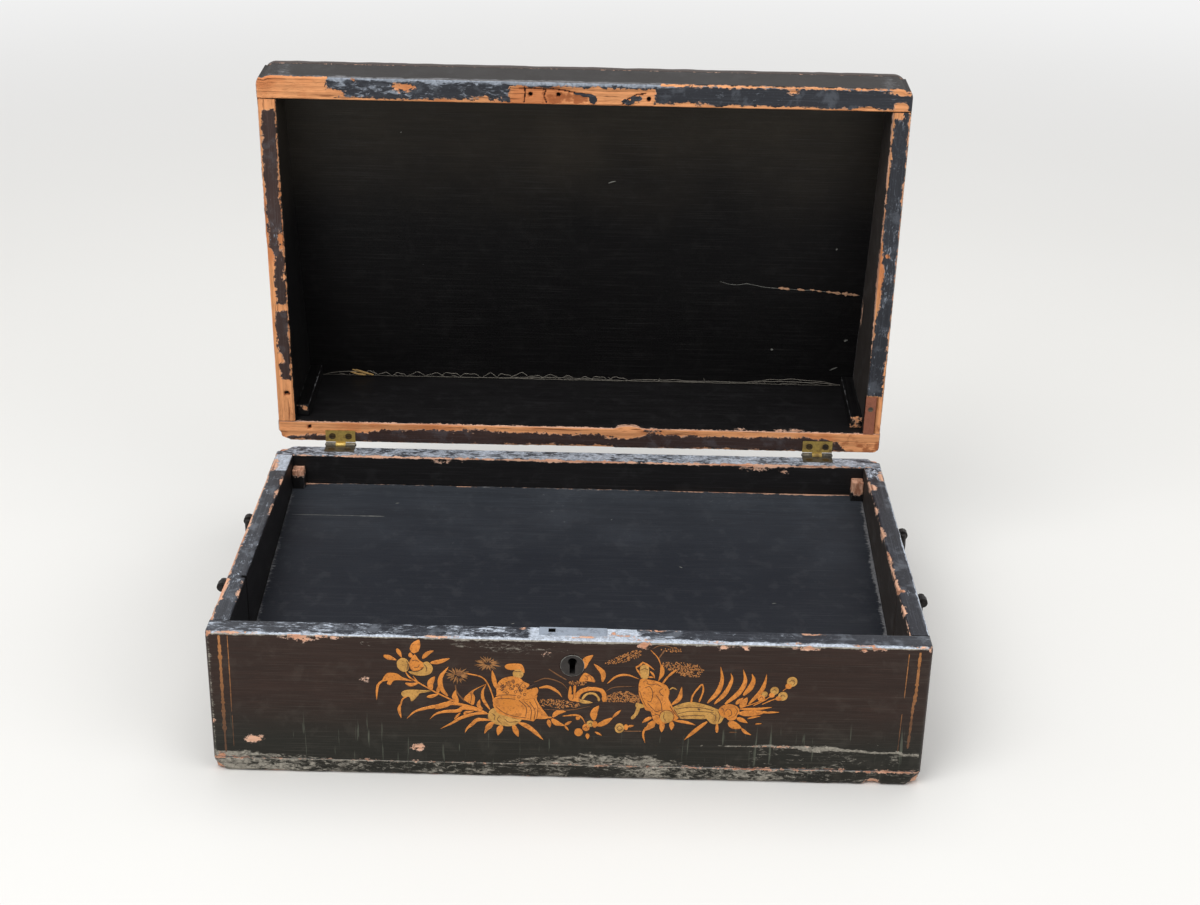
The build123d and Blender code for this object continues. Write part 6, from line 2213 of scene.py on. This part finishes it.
def seen_plainly(f):
    """1 for rays from the camera, from gloss and through glass, 0 for the rest."""
    rays = [
        f.node("ShaderNodeLightPath", out=f"Is {kind} Ray") for kind in ("Camera", "Glossy", "Transmission")
    ]
    return rays[0].most(rays[1]).most(rays[2])


class WORKBOX_OT_stage(bpy.types.Operator):
    """Sets the pale floor, the soft lamps and the camera"""

    bl_idname = "workbox.stage"
    bl_label = "Stage"

    def execute(self, context):
        ground = bpy.data.meshes.new("studio_floor")
        ground.from_pydata([(-40, -40, 0), (40, -40, 0), (40, 40, 0), (-40, 40, 0)], [], [(0, 1, 2, 3)])
        f = Finish("studio floor")
        pale = f.noise(f.place(), 3.0, 2.0)
        f.done(f.blend(pale * 0.15, tuple(colours().ground), (0.9, 0.9, 0.9)), 0.9, Specular_IOR_Level=0.1)
        far = f.node(
            "ShaderNodeVectorMath", {"operation": "LENGTH"}, {0: f.place()}, out="Value"
        ).over(0.7, 2.4)
        distant = f.node(
            "ShaderNodeEmission", {}, {"Color": (1.0, 1.0, 1.0, 1.0), "Strength": SEEN_BRIGHTNESS}
        )
        seen = f.node(
            "ShaderNodeMixShader", {},
            {0: far * seen_plainly(f), 1: Value(f, f.shader.outputs[0]), 2: distant}
        )
        f.feed(f.output.inputs[0], seen)
        ground.materials.append(f.material)
        add_object("studio_floor", ground)

        world = bpy.data.worlds.new("studio")
        world.use_nodes = True
        context.scene.world = world
        w = ShaderTree(world.node_tree)
        background = w.tree.nodes["Background"]
        seen_more = (SEEN_BRIGHTNESS - WORLD_BRIGHTNESS) * seen_plainly(w)
        w.feed(background.inputs["Strength"], WORLD_BRIGHTNESS + seen_more)
        background.inputs["Color"].default_value = (1.0, 1.0, 1.0, 1.0)

        for name, place, size, power in (
            ("key", (-0.9, -1.1, 1.9), 1.3, 26.0),
            ("fill", (1.3, -0.9, 1.2), 1.4, 9.0),
            ("top", (0.1, 0.5, 2.2), 1.6, 16.0),
        ):
            data = bpy.data.lights.new(name, "AREA")
            data.shape = "SQUARE"
            data.size = size
            data.energy = power
            lamp = add_object(name, data)
            lamp.location = place
            lamp.rotation_euler = (Vector(LAMP_TARGET) - Vector(place)).to_track_quat("-Z", "Y").to_euler()

        data = bpy.data.cameras.new("camera")
        data.sensor_fit = "HORIZONTAL"
        data.sensor_width = 36.0
        data.lens = 57.0
        camera = add_object("camera", data)
        pitch, yaw, roll = (math.radians(a) for a in CAMERA_TURNS)
        ahead = Vector((math.sin(yaw) * math.cos(pitch), math.cos(yaw) * math.cos(pitch), math.sin(pitch)))
        right = ahead.cross(Vector((0, 0, 1))).normalized()
        up = right.cross(ahead)
        turned_right = right * math.cos(roll) + up * math.sin(roll)
        turned_up = up * math.cos(roll) - right * math.sin(roll)
        turn = Matrix((turned_right, turned_up, -ahead)).transposed().to_4x4()
        camera.matrix_world = Matrix.Translation(CAMERA_PLACE) @ turn
        context.scene.camera = camera
        context.scene.view_settings.view_transform = "Standard"
        return {"FINISHED"}


class WORKBOX_PT_panel(bpy.types.Panel):
    """Lists the settings and the steps of the work box"""

    bl_label = "Work Box"
    bl_idname = "WORKBOX_PT_panel"
    bl_space_type = "VIEW_3D"
    bl_region_type = "UI"
    bl_category = "Work Box"

    def draw(self, context):
        for group in (context.scene.work_box_sizes, context.scene.work_box_colours):
            column = self.layout.column()
            for name in group.bl_rna.properties.keys():
                if name not in {"rna_type", "name"}:
                    column.prop(group, name)
        for operator in OPERATORS:
            self.layout.operator(operator.bl_idname)


OPERATORS = (
    WORKBOX_OT_stage,
    WORKBOX_OT_case_boards,
    WORKBOX_OT_lid_boards,
    WORKBOX_OT_gilding,
    WORKBOX_OT_lining,
    WORKBOX_OT_fittings,
)
CLASSES = (BoxSizes, BoxColours, *OPERATORS, WORKBOX_PT_panel)


def register():
    for item in CLASSES:
        bpy.utils.register_class(item)
    bpy.types.Scene.work_box_sizes = PointerProperty(type=BoxSizes)
    bpy.types.Scene.work_box_colours = PointerProperty(type=BoxColours)


def unregister():
    del bpy.types.Scene.work_box_colours
    del bpy.types.Scene.work_box_sizes
    for item in reversed(CLASSES):
        bpy.utils.unregister_class(item)


def main():
    register()
    for operator in OPERATORS:
        group, name = operator.bl_idname.split(".")
        getattr(getattr(bpy.ops, group), name)()


if __name__ == "__main__":
    main()
